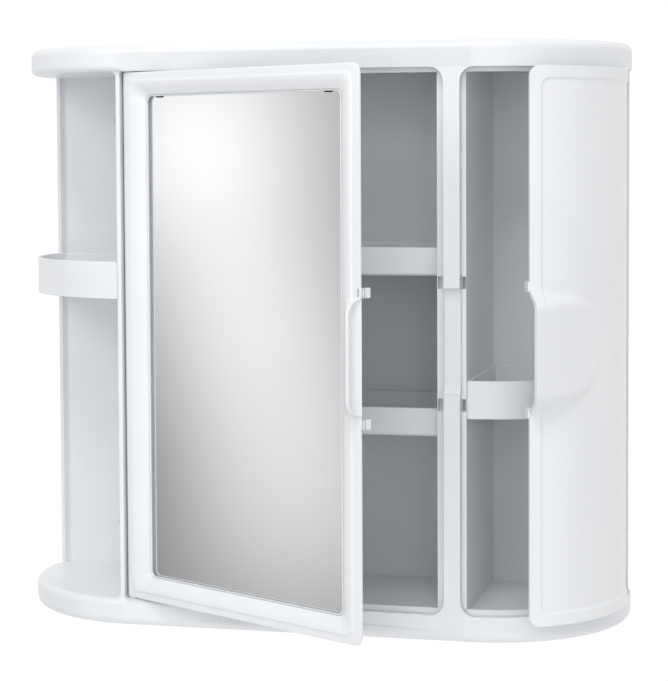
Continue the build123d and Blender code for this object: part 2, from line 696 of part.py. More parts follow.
with BuildPart() as frame_form:
    # Flange with its two kinds of corners
    with BuildSketch(Plane.XZ.offset(-crest_y - flange_drop)):
        with BuildLine():
            Polyline((0, -door_z), (mirror_length, -door_z), (mirror_length, door_z), (0, door_z),
                     close=True)
        make_face()
        fillet(vertices().group_by(Axis.X)[-1], free_corner)
    extrude(amount=-flange)
    with BuildSketch(Plane.XZ.offset(-crest_y)):
        add(door_rectangle(flange_width, dish_corner))
    extrude(amount=-flange_drop, taper=-crest_draft_angle)
    # Rear box and the round hinge edge
    with BuildSketch(Plane.XZ.offset(-crest_y - flange_drop)):
        add(tray_rectangle(0, tray_corner))
        with Locations((0, 0)):
            Rectangle(knuckle_radius * 2, 2 * door_z, mode=Mode.SUBTRACT)
    extrude(amount=-(mirror_depth - flange_drop))
    with BuildSketch(Plane.XY.offset(-door_z)):
        Circle(knuckle_radius)
    extrude(amount=2 * door_z)
    add(box_between((-knuckle_radius, 0, -tray_z), (knuckle_radius, mirror_rear, tray_z)))
    add(dish(0), mode=Mode.SUBTRACT)
    add(frame_channel.part, mode=Mode.SUBTRACT)
    # Thin groove round the lip
    with BuildSketch(Plane.XZ.offset(-crest_y)):
        add(door_rectangle(dish_steps[-1][0], dish_corner))
        add(door_rectangle(dish_steps[-1][0] + groove_width, dish_corner - groove_width / 2),
            mode=Mode.SUBTRACT)
    extrude(amount=-(dish_steps[-1][1] + groove_depth), mode=Mode.SUBTRACT)
    # Window and the space for the glass, the backing and the cover
    with BuildSketch(Plane.XZ.offset(-crest_y)):
        add(door_rectangle(window_margin, window_corner))
    extrude(amount=-glass_drop, mode=Mode.SUBTRACT)
    with BuildSketch(Plane.XZ.offset(-seat_plane)):
        add(tray_rectangle(skin, tray_corner - skin))
    extrude(amount=-(mirror_depth - glass_drop), mode=Mode.SUBTRACT)
    # Finger pull
    add(pull_form.part)
    add(pull_hollow_form.part, mode=Mode.SUBTRACT)
    # Notches for the glass clips, at the top only
    for clip_x in clip_places:
        add(box_between((clip_x - clip_width / 2 - plug_gap, seat_plane - clip_thickness, window_z - clip_reach),
                        (clip_x + clip_width / 2 + plug_gap, seat_plane + overcut, window_z + skirt + clip_reach)),
            mode=Mode.SUBTRACT)
    # Catch tabs
    for low, high in catch_levels:
        add(box_between((mirror_length - catch_thickness, crest_y + flange_drop, low),
                        (mirror_length + mirror_catch_out, crest_y + flange_drop + flange, high)))
        add(box_between((mirror_length + mirror_catch_out - catch_thickness, crest_y + flange_drop, low),
                        (mirror_length + mirror_catch_out, crest_y + flange_drop + flange + mirror_catch_back,
                         high)))
    # Holes of the hinge pins
    for side in (-1, 1):
        with BuildSketch(Plane.XY.offset(side * door_z)):
            Circle(pin_radius)
        extrude(amount=-side * pin_in_door, mode=Mode.SUBTRACT)

with BuildPart() as mirror_door_frame:
    with Locations(mirror_place):
        add(frame_form.part)
mirror_door_frame.part.label = "mirror_door_frame"
export_step(mirror_door_frame.part, "parts/mirror_door_frame.step")

# Mirror glass on its seat
with BuildPart() as glass_form:
    with BuildSketch(Plane.XZ.offset(-seat_plane)):
        add(door_rectangle(window_margin - glass_overlap, window_corner))
    extrude(amount=-glass)
with BuildPart() as mirror_glass:
    with Locations(mirror_place):
        add(glass_form.part)
mirror_glass.part.label = "mirror_glass"
export_step(mirror_glass.part, "parts/mirror_glass.step")

# Clips that hold the top edge of the glass on its seat
clip_low = window_z - clip_reach
clip_edge = glass_z + plug_gap
clip_top = clip_edge + clip_thickness
with BuildPart() as clip_form:
    for clip_x in clip_places:
        add(box_between((clip_x - clip_width / 2, seat_plane - clip_thickness, clip_low),
                        (clip_x + clip_width / 2, seat_plane, clip_top)))
        add(box_between((clip_x - clip_width / 2, seat_plane - clip_thickness, clip_edge),
                        (clip_x + clip_width / 2, seat_plane + glass + backing, clip_top)))
with BuildPart() as mirror_clips:
    with Locations(mirror_place):
        add(clip_form.part)
mirror_clips.part.label = "mirror_clips"
export_step(mirror_clips.part, "parts/mirror_clips.step")

# Sheet between the glass and the cover
with BuildPart() as backing_form:
    with BuildSketch(Plane.XZ.offset(-seat_plane - glass)):
        add(door_rectangle(window_margin - glass_overlap, window_corner))
    extrude(amount=-backing)
with BuildPart() as mirror_backing_sheet:
    with Locations(mirror_place):
        add(backing_form.part)
mirror_backing_sheet.part.label = "mirror_backing_sheet"
export_step(mirror_backing_sheet.part, "parts/mirror_backing_sheet.step")

# Cover on the back of the door
with BuildPart() as back_form:
    with BuildSketch(Plane.XZ.offset(-mirror_rear)):
        add(tray_rectangle(skin + plug_gap, tray_corner - skin))
    extrude(amount=door_back)
with BuildPart() as mirror_door_back:
    with Locations(mirror_place):
        add(back_form.part)
mirror_door_back.part.label = "mirror_door_back"
export_step(mirror_door_back.part, "parts/mirror_door_back.step")


def pins():
    """Hinge pins of one door, upper and lower, about its own axis."""
    with BuildPart() as pair:
        with BuildSketch(Plane.XY.offset(door_z - pin_in_door)):
            Circle(pin_radius)
        extrude(amount=pin_in_door + door_top_gap + pin_in_bush)
        mirror(about=Plane.XY)
    return pair.part


with BuildPart() as mirror_door_pivots:
    with Locations(mirror_place):
        add(pins())
mirror_door_pivots.part.label = "mirror_door_pivots"
export_step(mirror_door_pivots.part, "parts/mirror_door_pivots.step")

with BuildPart() as side_door_pivots:
    with Locations(side_place):
        add(pins())
side_door_pivots.part.label = "side_door_pivots"
export_step(side_door_pivots.part, "parts/side_door_pivots.step")

# Side door: a curved shell with a raised border, a scooped grip and two hinge arms
curve_x = end_x - side_hinge_x
curve_y = mid_y - side_hinge_y
side_radius = end_radius - side_inset
free_x = side_free_x - side_hinge_x
rear_angle = degrees(asin((side_rear_y - mid_y) / side_radius))


def door_band(outer, inner, start_x, end_angle):
    """Plan of a band of the side door between two radii, from a straight start to an angle."""
    far_left = curve_x - 2 * side_radius
    with BuildSketch() as plan:
        with BuildLine():
            long_arc = CenterArc((curve_x, curve_y), outer, -90, 90 + end_angle)
            short_arc = CenterArc((curve_x, curve_y), inner, -90, 90 + end_angle)
            Line((far_left, curve_y - outer), long_arc @ 0)
            Line((far_left, curve_y - inner), short_arc @ 0)
            Line((far_left, curve_y - outer), (far_left, curve_y - inner))
            Line(long_arc @ 1, short_arc @ 1)
        make_face()
        with Locations((start_x - 2 * side_radius, curve_y)):
            Rectangle(4 * side_radius, 4 * side_radius, mode=Mode.SUBTRACT)
    return plan.sketch


def grip_form(wall, depth_in):
    """Swelling of the door over the finger space, 'wall' inside its skin and 'depth_in' deep."""
    radius = side_radius - wall
    rear = side_radius - depth_in
    far_angle = radians(grip_end_angle)
    far_end = (curve_x + radius * cos(far_angle), curve_y + radius * sin(far_angle))
    mouth_x = free_x - wall
    free_y = curve_y - side_radius - grip_rise + wall
    with BuildPart() as swelling:
        with BuildSketch(Plane.XY.offset(grip_bottom - grip_flank_depth)):
            with BuildLine():
                TangentArc(far_end, (mouth_x, free_y), tangent=(sin(far_angle), -cos(far_angle)))
                Line((mouth_x, free_y), (mouth_x, curve_y - rear))
                Line((mouth_x, curve_y - rear), (curve_x, curve_y - rear))
                inner = CenterArc((curve_x, curve_y), rear, -90, 90 + grip_end_angle)
                Line(inner @ 1, far_end)
            make_face()
        extrude(amount=grip_top - grip_bottom + 2 * grip_flank_depth)
    shrink = wall / cos(radians(grip_draft_angle))
    spread = grip_flank_depth * sin(radians(grip_draft_angle)) / cos(radians(grip_draft_angle))
    far_x = free_x + grip_length + spread - shrink
    with BuildPart() as flanks:
        with BuildSketch(Plane.XZ.offset(side_radius - curve_y - grip_flank_depth)) as front_view:
            with BuildLine():
                Polyline((free_x - 2 * grip_flank_depth, grip_bottom - spread + shrink),
                         (free_x, grip_bottom - spread + shrink),
                         (far_x, grip_far_bottom - spread + shrink), (far_x, grip_far_top + spread - shrink),
                         (free_x, grip_top + spread - shrink),
                         (free_x - 2 * grip_flank_depth, grip_top + spread - shrink), close=True)
            make_face()
            fillet(front_view.vertices().group_by(Axis.X)[-1], grip_far_corner + spread)
        extrude(amount=grip_flank_depth + grip_rise + skin, taper=grip_draft_angle)
    with BuildPart() as grip:
        add(swelling.part)
        add(flanks.part, mode=Mode.INTERSECT)
    return grip.part


# Space cut out of the door's face so that a border stands round the field
with BuildPart() as field_cut:
    field_z = door_z - border
    with BuildSketch(Plane.XY.offset(-field_z)):
        add(door_band(side_radius + field_drop, side_radius - field_drop, free_x + border - overcut, rear_angle))
    extrude(amount=2 * field_z)
    # Rounded corners, cut in the front view at the free edge and in the side view at the rear
    far_side = 2 * side_radius
    with BuildSketch(Plane.XZ.offset(-far_side)) as free_side:
        with Locations((free_x + border + far_side / 2, 0)):
            Rectangle(far_side, 2 * field_z)
        fillet(free_side.vertices().group_by(Axis.X)[0], border_corner)
    extrude(amount=2 * far_side, mode=Mode.INTERSECT)
    field_rear_y = curve_y + side_radius * sin(radians(rear_angle) - border / side_radius)
    with BuildSketch(Plane.YZ.offset(-far_side)) as rear_side:
        with Locations((field_rear_y - far_side / 2, 0)):
            Rectangle(far_side, 2 * field_z)
        fillet(rear_side.vertices().group_by(Axis.X)[-1], border_corner)
    extrude(amount=2 * far_side, mode=Mode.INTERSECT)

with BuildPart() as side_form:
    with BuildSketch(Plane.XY.offset(-door_z)):
        add(door_band(side_radius, side_radius - side_skin, free_x, rear_angle))
    extrude(amount=2 * door_z)
    # Round corners at the free edge
    free_edges = side_form.edges().filter_by(Axis.Y).group_by(Axis.X)[0]
    fillet(free_edges, side_corner)
    add(field_cut.part, mode=Mode.SUBTRACT)
    add(grip_form(0, side_skin / 2))
    add(grip_form(grip_wall, side_skin + grip_wall), mode=Mode.SUBTRACT)
    # Stiffening ribs that pass through the opening
    for side in (-1, 1):
        with BuildSketch(Plane.XY.offset(side * tray_z)):
            add(door_band(side_radius - side_skin / 2, side_radius - side_skin - side_rib,
                          upright_right + tray_gap - side_hinge_x, field_end_angle))
        extrude(amount=-side * side_rib_wall)
        # Hinge arm
        arm_angle = radians(field_end_angle)
        arm_outer = side_radius - side_skin / 2
        with BuildSketch(Plane.XY.offset(side * door_z)):
            Circle(arm_radius)
            with BuildLine():
                Polyline((0, -arm_radius), (curve_x + arm_outer * cos(arm_angle), curve_y + arm_outer * sin(arm_angle)),
                         (curve_x + arm_outer, curve_y), (0, arm_radius), close=True)
            make_face()
        extrude(amount=-side * arm_height)
        with BuildSketch(Plane.XY.offset(side * door_z)):
            Circle(pin_radius)
        extrude(amount=-side * pin_in_door, mode=Mode.SUBTRACT)
    # Catch tabs
    for low, high in catch_levels:
        add(box_between((free_x - side_catch_out, curve_y - side_radius, low),
                        (free_x + side_catch_out, curve_y - side_radius + side_skin, high)))
        add(box_between((free_x - side_catch_out / 2, curve_y - side_radius + side_skin / 2, low),
                        (free_x + side_catch_out, curve_y - side_radius + side_skin + side_catch_back, high)))

with BuildPart() as side_door_shell:
    with Locations(side_place):
        add(side_form.part)
side_door_shell.part.label = "side_door_shell"
export_step(side_door_shell.part, "parts/side_door_shell.step")
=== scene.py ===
import bpy
import bmesh
from math import asin, atan2, cos, degrees, pi, radians, sin, sqrt
from mathutils import Matrix, Vector


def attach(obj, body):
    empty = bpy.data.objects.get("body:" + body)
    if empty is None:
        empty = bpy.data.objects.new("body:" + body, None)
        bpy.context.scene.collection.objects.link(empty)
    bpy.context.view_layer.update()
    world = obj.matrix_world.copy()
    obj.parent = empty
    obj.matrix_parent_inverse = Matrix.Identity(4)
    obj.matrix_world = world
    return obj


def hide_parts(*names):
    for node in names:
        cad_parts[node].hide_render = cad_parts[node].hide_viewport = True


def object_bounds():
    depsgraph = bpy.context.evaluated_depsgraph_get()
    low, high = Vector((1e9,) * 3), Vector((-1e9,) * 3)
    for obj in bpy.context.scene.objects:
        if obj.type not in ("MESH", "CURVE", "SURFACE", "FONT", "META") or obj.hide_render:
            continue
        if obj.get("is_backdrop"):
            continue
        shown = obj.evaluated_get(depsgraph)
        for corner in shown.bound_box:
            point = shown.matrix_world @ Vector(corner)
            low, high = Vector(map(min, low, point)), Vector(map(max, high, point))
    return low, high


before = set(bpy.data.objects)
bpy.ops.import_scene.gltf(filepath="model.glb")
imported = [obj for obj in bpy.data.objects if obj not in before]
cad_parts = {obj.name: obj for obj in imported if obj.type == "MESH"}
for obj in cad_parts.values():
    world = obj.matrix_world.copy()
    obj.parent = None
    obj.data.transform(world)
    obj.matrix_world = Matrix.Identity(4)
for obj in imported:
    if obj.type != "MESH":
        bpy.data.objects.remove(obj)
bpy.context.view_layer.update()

# Top and bottom of the cabinet
# Two thick mouldings of white plastic with the same plan, hollow inside, with a large round along their
# outer rim. Each is a case and a cover clipped together. Thin curbs behind the doors keep the dust out.
bay_level, top_level = 0.241, 0.265
end_centre, rear_centre, side_line = 0.1595, 0.2375, -0.030
end_radius, rear_radius = 0.128, 0.050
outer_round, end_round, slab_back = 0.0079, 0.0055, 0.0004
seat_line, plate_left, upright_right = -0.1476, 0.1289, 0.155
curb_height, curb_wall, curb_left, curb_inset, curb_turn = 0.0043, 0.003, -0.1443, 0.0104, 76.5


def draw_outline(bm, start, moves, flat="XY", level=0.0):
    """Closed rim drawn with straight runs (x, y) and arcs (centre x, centre y, turn, steps)."""
    def spot(a, b):
        return Vector((a, b, level)) if flat == "XY" else Vector((a, level, b))
    across = Vector((0, 0, 1)) if flat == "XY" else Vector((0, -1, 0))
    known = set(bm.edges)
    first = pen = bmesh.ops.create_vert(bm, co=spot(*start))["vert"][0]
    for move in moves:
        if len(move) == 2:
            pen = bmesh.ops.extrude_vert_indiv(bm, verts=[pen])["verts"][0]
            pen.co = spot(*move)
        else:
            grown = bmesh.ops.spin(bm, geom=[pen], cent=spot(move[0], move[1]), axis=across,
                                   angle=radians(move[2]), steps=move[3])
            pen = [item for item in grown["geom_last"] if isinstance(item, bmesh.types.BMVert)][0]
    if (pen.co - first.co).length < 1e-5:
        bmesh.ops.pointmerge(bm, verts=[pen, first], merge_co=first.co)
    else:
        bm.edges.new((pen, first))
    return [edge for edge in bm.edges if edge not in known]


def raise_block(bm, edges, along):
    """Solid block from a closed flat rim."""
    face = bmesh.ops.contextual_create(bm, geom=edges)["faces"][0]
    grown = bmesh.ops.extrude_face_region(bm, geom=[face])
    top = [item for item in grown["geom"] if isinstance(item, bmesh.types.BMVert)]
    bmesh.ops.translate(bm, vec=along, verts=top)
    bmesh.ops.recalc_face_normals(bm, faces=bm.faces)


def end_plan(inset, back, steps=22):
    """Plan of the cabinet, 'inset' inside its outline: start and moves of the rim, cut off at y = -back."""
    turn = degrees(asin((-back - side_line) / (rear_radius - inset)))
    reach = (rear_radius - inset) * cos(radians(turn))
    start = (-rear_centre - reach, -back)
    moves = [(-rear_centre, side_line, turn, 8), (-end_centre, side_line, 90, steps),
             (end_centre, side_line - end_radius + inset), (end_centre, side_line, 90, steps),
             (rear_centre, side_line, turn, 8)]
    return start, moves


def soften(bm, chosen, width, steps=3):
    """Small round on the chosen edges."""
    bmesh.ops.bevel(bm, geom=chosen, offset=width, offset_type="OFFSET", segments=steps, profile=0.5,
                    affect="EDGES", clamp_overlap=True, material=-1)


def highest(edge, axis):
    """Largest coordinate of an edge along an axis."""
    return max(vert.co[axis] for vert in edge.verts)


def lowest(edge, axis):
    """Smallest coordinate of an edge along an axis."""
    return min(vert.co[axis] for vert in edge.verts)


def finish_piece(name, bm, body, slot_name, material, *nodes, crease=32):
    """Shaded object from the mesh, riding on its body and standing for its CAD nodes."""
    bmesh.ops.remove_doubles(bm, verts=bm.verts, dist=1e-6)
    bmesh.ops.dissolve_degenerate(bm, edges=bm.edges, dist=1e-7)
    mesh = bpy.data.meshes.new(name)
    bm.to_mesh(mesh)
    bm.free()
    mesh.shade_smooth()
    mesh.set_sharp_from_angle(angle=radians(crease))
    piece = bpy.data.objects.new(name, mesh)
    bpy.context.scene.collection.objects.link(piece)
    mesh.materials.append(material)
    even = piece.modifiers.new("even_shading", "WEIGHTED_NORMAL")
    even.keep_sharp = True
    even.weight = 80
    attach(piece, body)
    if nodes:
        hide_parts(*nodes)
    return piece


def moulded_plastic(name, light_tone, dark_tone, roughness, skin_height, seed):
    """White moulded plastic: cloudy flow marks, a fine mould skin, faint sink ripples and uneven gloss."""
    material = bpy.data.materials.new(name)
    material.use_nodes = True
    nodes, links = material.node_tree.nodes, material.node_tree.links
    shader = nodes["Principled BSDF"]
    place = nodes.new("ShaderNodeTexCoord")
    shift = nodes.new("ShaderNodeMapping")
    shift.inputs["Location"].default_value = (seed, seed * 0.7, seed * 1.3)
    links.new(place.outputs["Object"], shift.inputs["Vector"])
    cloud = nodes.new("ShaderNodeTexNoise")
    cloud.inputs["Scale"].default_value = 7.0
    cloud.inputs["Detail"].default_value = 5.0
    cloud.inputs["Roughness"].default_value = 0.6
    links.new(shift.outputs["Vector"], cloud.inputs["Vector"])
    tone = nodes.new("ShaderNodeValToRGB")
    tone.color_ramp.elements[0].position = 0.32
    tone.color_ramp.elements[0].color = (*dark_tone, 1)
    tone.color_ramp.elements[1].position = 0.62
    tone.color_ramp.elements[1].color = (*light_tone, 1)
    links.new(cloud.outputs["Fac"], tone.inputs["Fac"])
    links.new(tone.outputs["Color"], shader.inputs["Base Color"])
    gloss = nodes.new("ShaderNodeMapRange")
    gloss.inputs["To Min"].default_value = roughness - 0.05
    gloss.inputs["To Max"].default_value = roughness + 0.07
    wear = nodes.new("ShaderNodeTexNoise")
    wear.inputs["Scale"].default_value = 34.0
    wear.inputs["Detail"].default_value = 6.0
    links.new(shift.outputs["Vector"], wear.inputs["Vector"])
    links.new(wear.outputs["Fac"], gloss.inputs["Value"])
    links.new(gloss.outputs["Result"], shader.inputs["Roughness"])
    skin = nodes.new("ShaderNodeTexNoise")
    skin.inputs["Scale"].default_value = 1300.0
    skin.inputs["Detail"].default_value = 3.0
    links.new(shift.outputs["Vector"], skin.inputs["Vector"])
    ripple = nodes.new("ShaderNodeTexNoise")
    ripple.inputs["Scale"].default_value = 16.0
    ripple.inputs["Detail"].default_value = 1.0
    links.new(shift.outputs["Vector"], ripple.inputs["Vector"])
    fine = nodes.new("ShaderNodeBump")
    fine.inputs["Strength"].default_value = 0.25
    fine.inputs["Distance"].default_value = skin_height
    links.new(skin.outputs["Fac"], fine.inputs["Height"])
    broad = nodes.new("ShaderNodeBump")
    broad.inputs["Strength"].default_value = 0.3
    broad.inputs["Distance"].default_value = 0.0012
    links.new(ripple.outputs["Fac"], broad.inputs["Height"])
    links.new(fine.outputs["Normal"], broad.inputs["Normal"])
    links.new(broad.outputs["Normal"], shader.inputs["Normal"])
    shader.inputs["IOR"].default_value = 1.49
    shader.inputs["Specular IOR Level"].default_value = 0.5
    shader.inputs["Coat Weight"].default_value = 0.12
    shader.inputs["Coat Roughness"].default_value = 0.18
    return material


body_white = moulded_plastic("body_white", (0.80, 0.815, 0.835), (0.765, 0.783, 0.806), 0.36, 0.00012, 0.0)


def slab(side):
    """Top (side 1) or bottom (side -1) moulding with its curbs."""
    bm = bmesh.new()
    start, moves = end_plan(0.0, slab_back, 40)
    raise_block(bm, draw_outline(bm, start, moves, level=bay_level), (0, 0, top_level - bay_level))
    outer = [edge for edge in bm.edges if lowest(edge, 2) > top_level - 1e-5 and lowest(edge, 1) < -0.001]
    soften(bm, outer, outer_round, 8)
    open_end = [edge for edge in bm.edges if highest(edge, 2) < bay_level + 1e-5
                and highest(edge, 0) < -end_centre + 1e-4 and lowest(edge, 1) < -0.001]
    soften(bm, open_end, end_round, 6)
    # Curbs, straight behind the mirror door and curved behind the side door
    low, rear_line = bay_level - curb_height, seat_line + curb_wall
    rise = (0, 0, curb_height + 0.0001)
    raise_block(bm, draw_outline(bm, (curb_left, seat_line), [
        (plate_left, seat_line), (plate_left, rear_line), (curb_left, rear_line)], level=low), rise)
    inner = end_radius - curb_inset - curb_wall
    end_x = end_centre + inner * sin(radians(curb_turn))
    end_y = side_line - inner * cos(radians(curb_turn))
    raise_block(bm, draw_outline(bm, (upright_right, seat_line), [
        (end_centre, seat_line), (end_centre, side_line, curb_turn, 22), (end_x, end_y),
        (end_centre, side_line, -curb_turn, 22), (upright_right, rear_line)], level=low), rise)
    lips = [edge for edge in bm.edges if highest(edge, 2) < low + 1e-5]
    soften(bm, lips, 0.0006, 2)
    if side < 0:
        bmesh.ops.scale(bm, vec=(1, 1, -1), verts=bm.verts)
        bmesh.ops.recalc_face_normals(bm, faces=bm.faces)
    return bm


finish_piece("top_moulding", slab(1), "cabinet", "body_plastic", body_white, "top_case", "top_cover")
finish_piece("bottom_moulding", slab(-1), "cabinet", "body_plastic", body_white,
             "bottom_case", "bottom_cover")

# Back panel
# A flat sheet of slightly duller white plastic, 3 mm thick, that stands against the wall between top and
# bottom. Its sides turn forward in a soft cove, tongues at its ends slide into the mouldings, and screws
# hold it.
panel_front = -0.003


def merged_copy(node):
    """Copy of a CAD node's mesh with its loose triangles joined."""
    bm = bmesh.new()
    bm.from_mesh(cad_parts[node].data)
    bmesh.ops.remove_doubles(bm, verts=bm.verts, dist=1e-6)
    return bm


panel_white = moulded_plastic("panel_white", (0.775, 0.79, 0.812), (0.745, 0.762, 0.786), 0.46,
                              0.00016, 3.0)
finish_piece("rear_panel", merged_copy("back_panel"), "cabinet", "panel_plastic", panel_white,
             "back_panel", crease=24)

# Screws of the back panel
# Eight small zinc-plated self-tapping screws with flat round heads, driven from the wall side.
# They pass through the panel into bosses of the mouldings and of the upright.
plated_steel = bpy.data.materials.new("plated_steel")
plated_steel.use_nodes = True
steel_nodes, steel_links = plated_steel.node_tree.nodes, plated_steel.node_tree.links
steel_shader = steel_nodes["Principled BSDF"]
steel_place = steel_nodes.new("ShaderNodeTexCoord")
steel_noise = steel_nodes.new("ShaderNodeTexNoise")
steel_noise.inputs["Scale"].default_value = 420.0
steel_links.new(steel_place.outputs["Object"], steel_noise.inputs["Vector"])
steel_tone = steel_nodes.new("ShaderNodeValToRGB")
steel_tone.color_ramp.elements[0].color = (0.50, 0.50, 0.48, 1)
steel_tone.color_ramp.elements[1].color = (0.70, 0.70, 0.68, 1)
steel_links.new(steel_noise.outputs["Fac"], steel_tone.inputs["Fac"])
steel_links.new(steel_tone.outputs["Color"], steel_shader.inputs["Base Color"])
steel_rough = steel_nodes.new("ShaderNodeMapRange")
steel_rough.inputs["To Min"].default_value = 0.24
steel_rough.inputs["To Max"].default_value = 0.42
steel_links.new(steel_noise.outputs["Fac"], steel_rough.inputs["Value"])
steel_links.new(steel_rough.outputs["Result"], steel_shader.inputs["Roughness"])
steel_shader.inputs["Metallic"].default_value = 1.0
head_radius, head_height, shank_radius, screw_length = 0.003, 0.0016, 0.0012, 0.0139
screw_places = [(x, z) for x in (-0.2225, 0.0, 0.2225) for z in (-0.2492, 0.2492)]
screw_places += [(0.14195, 0.150), (0.14195, -0.150)]
screws = bmesh.new()
for x, z in screw_places:
    before = set(screws.verts)
    rim = draw_outline(screws, (0, 0), [
        (head_radius, 0), (head_radius, -0.0011), (0.0027, -head_height), (shank_radius, -head_height),
        (0.0011, -0.0125), (0.0002, -screw_length), (0, -screw_length)])
    side = [edge for edge in rim if highest(edge, 0) > 1e-6]
    bmesh.ops.spin(screws, geom=side + [v for v in screws.verts if v not in before], cent=(0, 0, 0),
                   axis=(0, 1, 0), angle=2 * pi, steps=20, use_merge=True)
    made = [v for v in screws.verts if v not in before]
    bmesh.ops.remove_doubles(screws, verts=made, dist=1e-6)
    made = [v for v in screws.verts if v not in before]
    bmesh.ops.translate(screws, vec=(x, 0, z), verts=made)
bmesh.ops.delete(screws, geom=[edge for edge in screws.edges if not edge.link_faces], context="EDGES")
bmesh.ops.recalc_face_normals(screws, faces=screws.faces)
finish_piece("panel_screws", screws, "cabinet", "screw_steel", plated_steel, "back_panel_screws")

# Centre upright
# A white plastic moulding between the two door openings. Its narrow pillar stands flush with the fronts of
# top and bottom and flows into them with large fillets. A scoop in it leaves room for fingers, and slots in
# its door seats take the catches.
pillar_left, pillar_right, pillar_front, pillar_depth = 0.1364, 0.1510, -0.15796, 0.0104
foot_round, flare, sunk_level, root_level = 0.013, 0.018, 0.24108, 0.2412
scoop_depth, scoop_top, scoop_bottom, scoop_ramp, scoop_steps = 0.005, 0.048, -0.046, 0.012, 14
catch_levels = ((0.0467, 0.0578), (-0.0613, -0.0502))
catch_slots = ((0.1297, 0.1362, 0.0073), (0.1512, 0.1547, 0.0093))


def cut_through(bm, spot, direction, reach=0.0):
    """New edges where a plane crosses the mesh."""
    whole = bm.verts[:] + bm.edges[:] + bm.faces[:]
    bmesh.ops.bisect_plane(bm, geom=whole, plane_co=spot, plane_no=direction, dist=reach)


upright = bmesh.new()
raise_block(upright, draw_outline(upright, (pillar_left - flare, -root_level), [
    (pillar_right + flare, -root_level), (pillar_right + flare, -sunk_level), (pillar_right, -sunk_level),
    (pillar_right, sunk_level), (pillar_right + flare, sunk_level), (pillar_right + flare, root_level),
    (pillar_left - flare, root_level), (pillar_left - flare, sunk_level), (pillar_left, sunk_level),
    (pillar_left, -sunk_level), (pillar_left - flare, -sunk_level)], flat="XZ", level=pillar_front),
    (0, pillar_depth, 0))
inside_corners = [edge for edge in upright.edges if abs(edge.verts[0].co.y - edge.verts[1].co.y) > 0.005
                  and pillar_left - 1e-4 < edge.verts[0].co.x < pillar_right + 1e-4]
soften(upright, inside_corners, foot_round, 12)
for side in (-1, 1):
    for step in range(scoop_steps):
        level = (scoop_top if side > 0 else scoop_bottom) - side * scoop_ramp * step / (scoop_steps - 1)
        cut_through(upright, (0, 0, level), (0, 0, 1))
rim = [edge for edge in upright.edges if highest(edge, 1) < pillar_front + 0.00006
       and max(abs(v.co.z) for v in edge.verts) < bay_level - 0.0002 and len(edge.link_faces) == 2
       and edge.calc_face_angle(0) > 1.2]
soften(upright, rim, 0.0018, 4)
for vert in upright.verts:
    if vert.co.y < -0.150 and scoop_bottom < vert.co.z < scoop_top:
        edge_gap = min(scoop_top - vert.co.z, vert.co.z - scoop_bottom)
        blend = min(1.0, edge_gap / scoop_ramp)
        vert.co.y += scoop_depth * sqrt(1 - (1 - blend) ** 2) * (1 if vert.co.y < -0.1555 else 0.5)
seat = bmesh.new()
bmesh.ops.create_cube(seat, size=1)
bmesh.ops.scale(seat, vec=(upright_right - plate_left, panel_front - seat_line, 2 * bay_level),
                verts=seat.verts)
bmesh.ops.translate(seat, vec=((upright_right + plate_left) / 2, (seat_line + panel_front) / 2, 0),
                    verts=seat.verts)
for low_x, high_x, reach in catch_slots:
    cut_through(seat, (low_x, 0, 0), (1, 0, 0))
    cut_through(seat, (high_x, 0, 0), (1, 0, 0))
for level in catch_levels[0] + catch_levels[1]:
    cut_through(seat, (0, 0, level), (0, 0, 1))
for low_x, high_x, reach in catch_slots:
    for low, high in catch_levels:
        mouth = [face for face in seat.faces if face.normal.y < -0.9
                 and low_x < face.calc_center_median().x < high_x
                 and low < face.calc_center_median().z < high]
        grown = bmesh.ops.extrude_face_region(seat, geom=mouth)
        bmesh.ops.translate(seat, vec=(0, reach, 0),
                            verts=[item for item in grown["geom"] if isinstance(item, bmesh.types.BMVert)])
        bmesh.ops.delete(seat, geom=mouth, context="FACES_ONLY")
seat_rims = [edge for edge in seat.edges if highest(edge, 1) < seat_line + 1e-5
             and abs(edge.verts[0].co.x - edge.verts[1].co.x) < 1e-6
             and (edge.verts[0].co.x < plate_left + 1e-5 or edge.verts[0].co.x > upright_right - 1e-5)]
soften(seat, seat_rims, 0.0007, 2)
seat_mesh = bpy.data.meshes.new("seat_of_upright")
seat.to_mesh(seat_mesh)
seat.free()
upright.from_mesh(seat_mesh)
finish_piece("upright_moulding", upright, "cabinet", "body_plastic", body_white, "centre_upright")

# Left divider
# A thin white plastic wall between the open bay and the mirror door's bay. Its front edge is rounded.
# It flares where it runs into the top and the bottom, and the tabs of tray and shelves plug into it.
divider_left, divider_right, divider_front = -0.1668, -0.1630, -0.1515
divider = bmesh.new()
flare_left, flare_right = divider_left - 0.006, divider_right + 0.003
raise_block(divider, draw_outline(divider, (flare_right, -root_level), [
    (flare_right, -sunk_level), (divider_right, -sunk_level), (divider_right, sunk_level),
    (flare_right, sunk_level), (flare_right, root_level), (flare_left, root_level),
    (flare_left, sunk_level), (divider_left, sunk_level), (divider_left, -sunk_level),
    (flare_left, -sunk_level), (flare_left, -root_level)], flat="XZ", level=divider_front),
    (0, panel_front - divider_front, 0))
wide_corners = [edge for edge in divider.edges if abs(edge.verts[0].co.y - edge.verts[1].co.y) > 0.05
                and abs(edge.verts[0].co.x - divider_left) < 1e-5]
soften(divider, wide_corners, 0.0055, 7)
small_corners = [edge for edge in divider.edges if abs(edge.verts[0].co.y - edge.verts[1].co.y) > 0.05
                 and abs(edge.verts[0].co.x - divider_right) < 1e-5]
soften(divider, small_corners, 0.0022, 4)
front_rim = [edge for edge in divider.edges if highest(edge, 1) < divider_front + 1e-5
             and max(abs(v.co.z) for v in edge.verts) < bay_level - 0.0003]
soften(divider, front_rim, 0.0013, 4)
finish_piece("divider_wall", divider, "cabinet", "body_plastic", body_white, "left_divider")

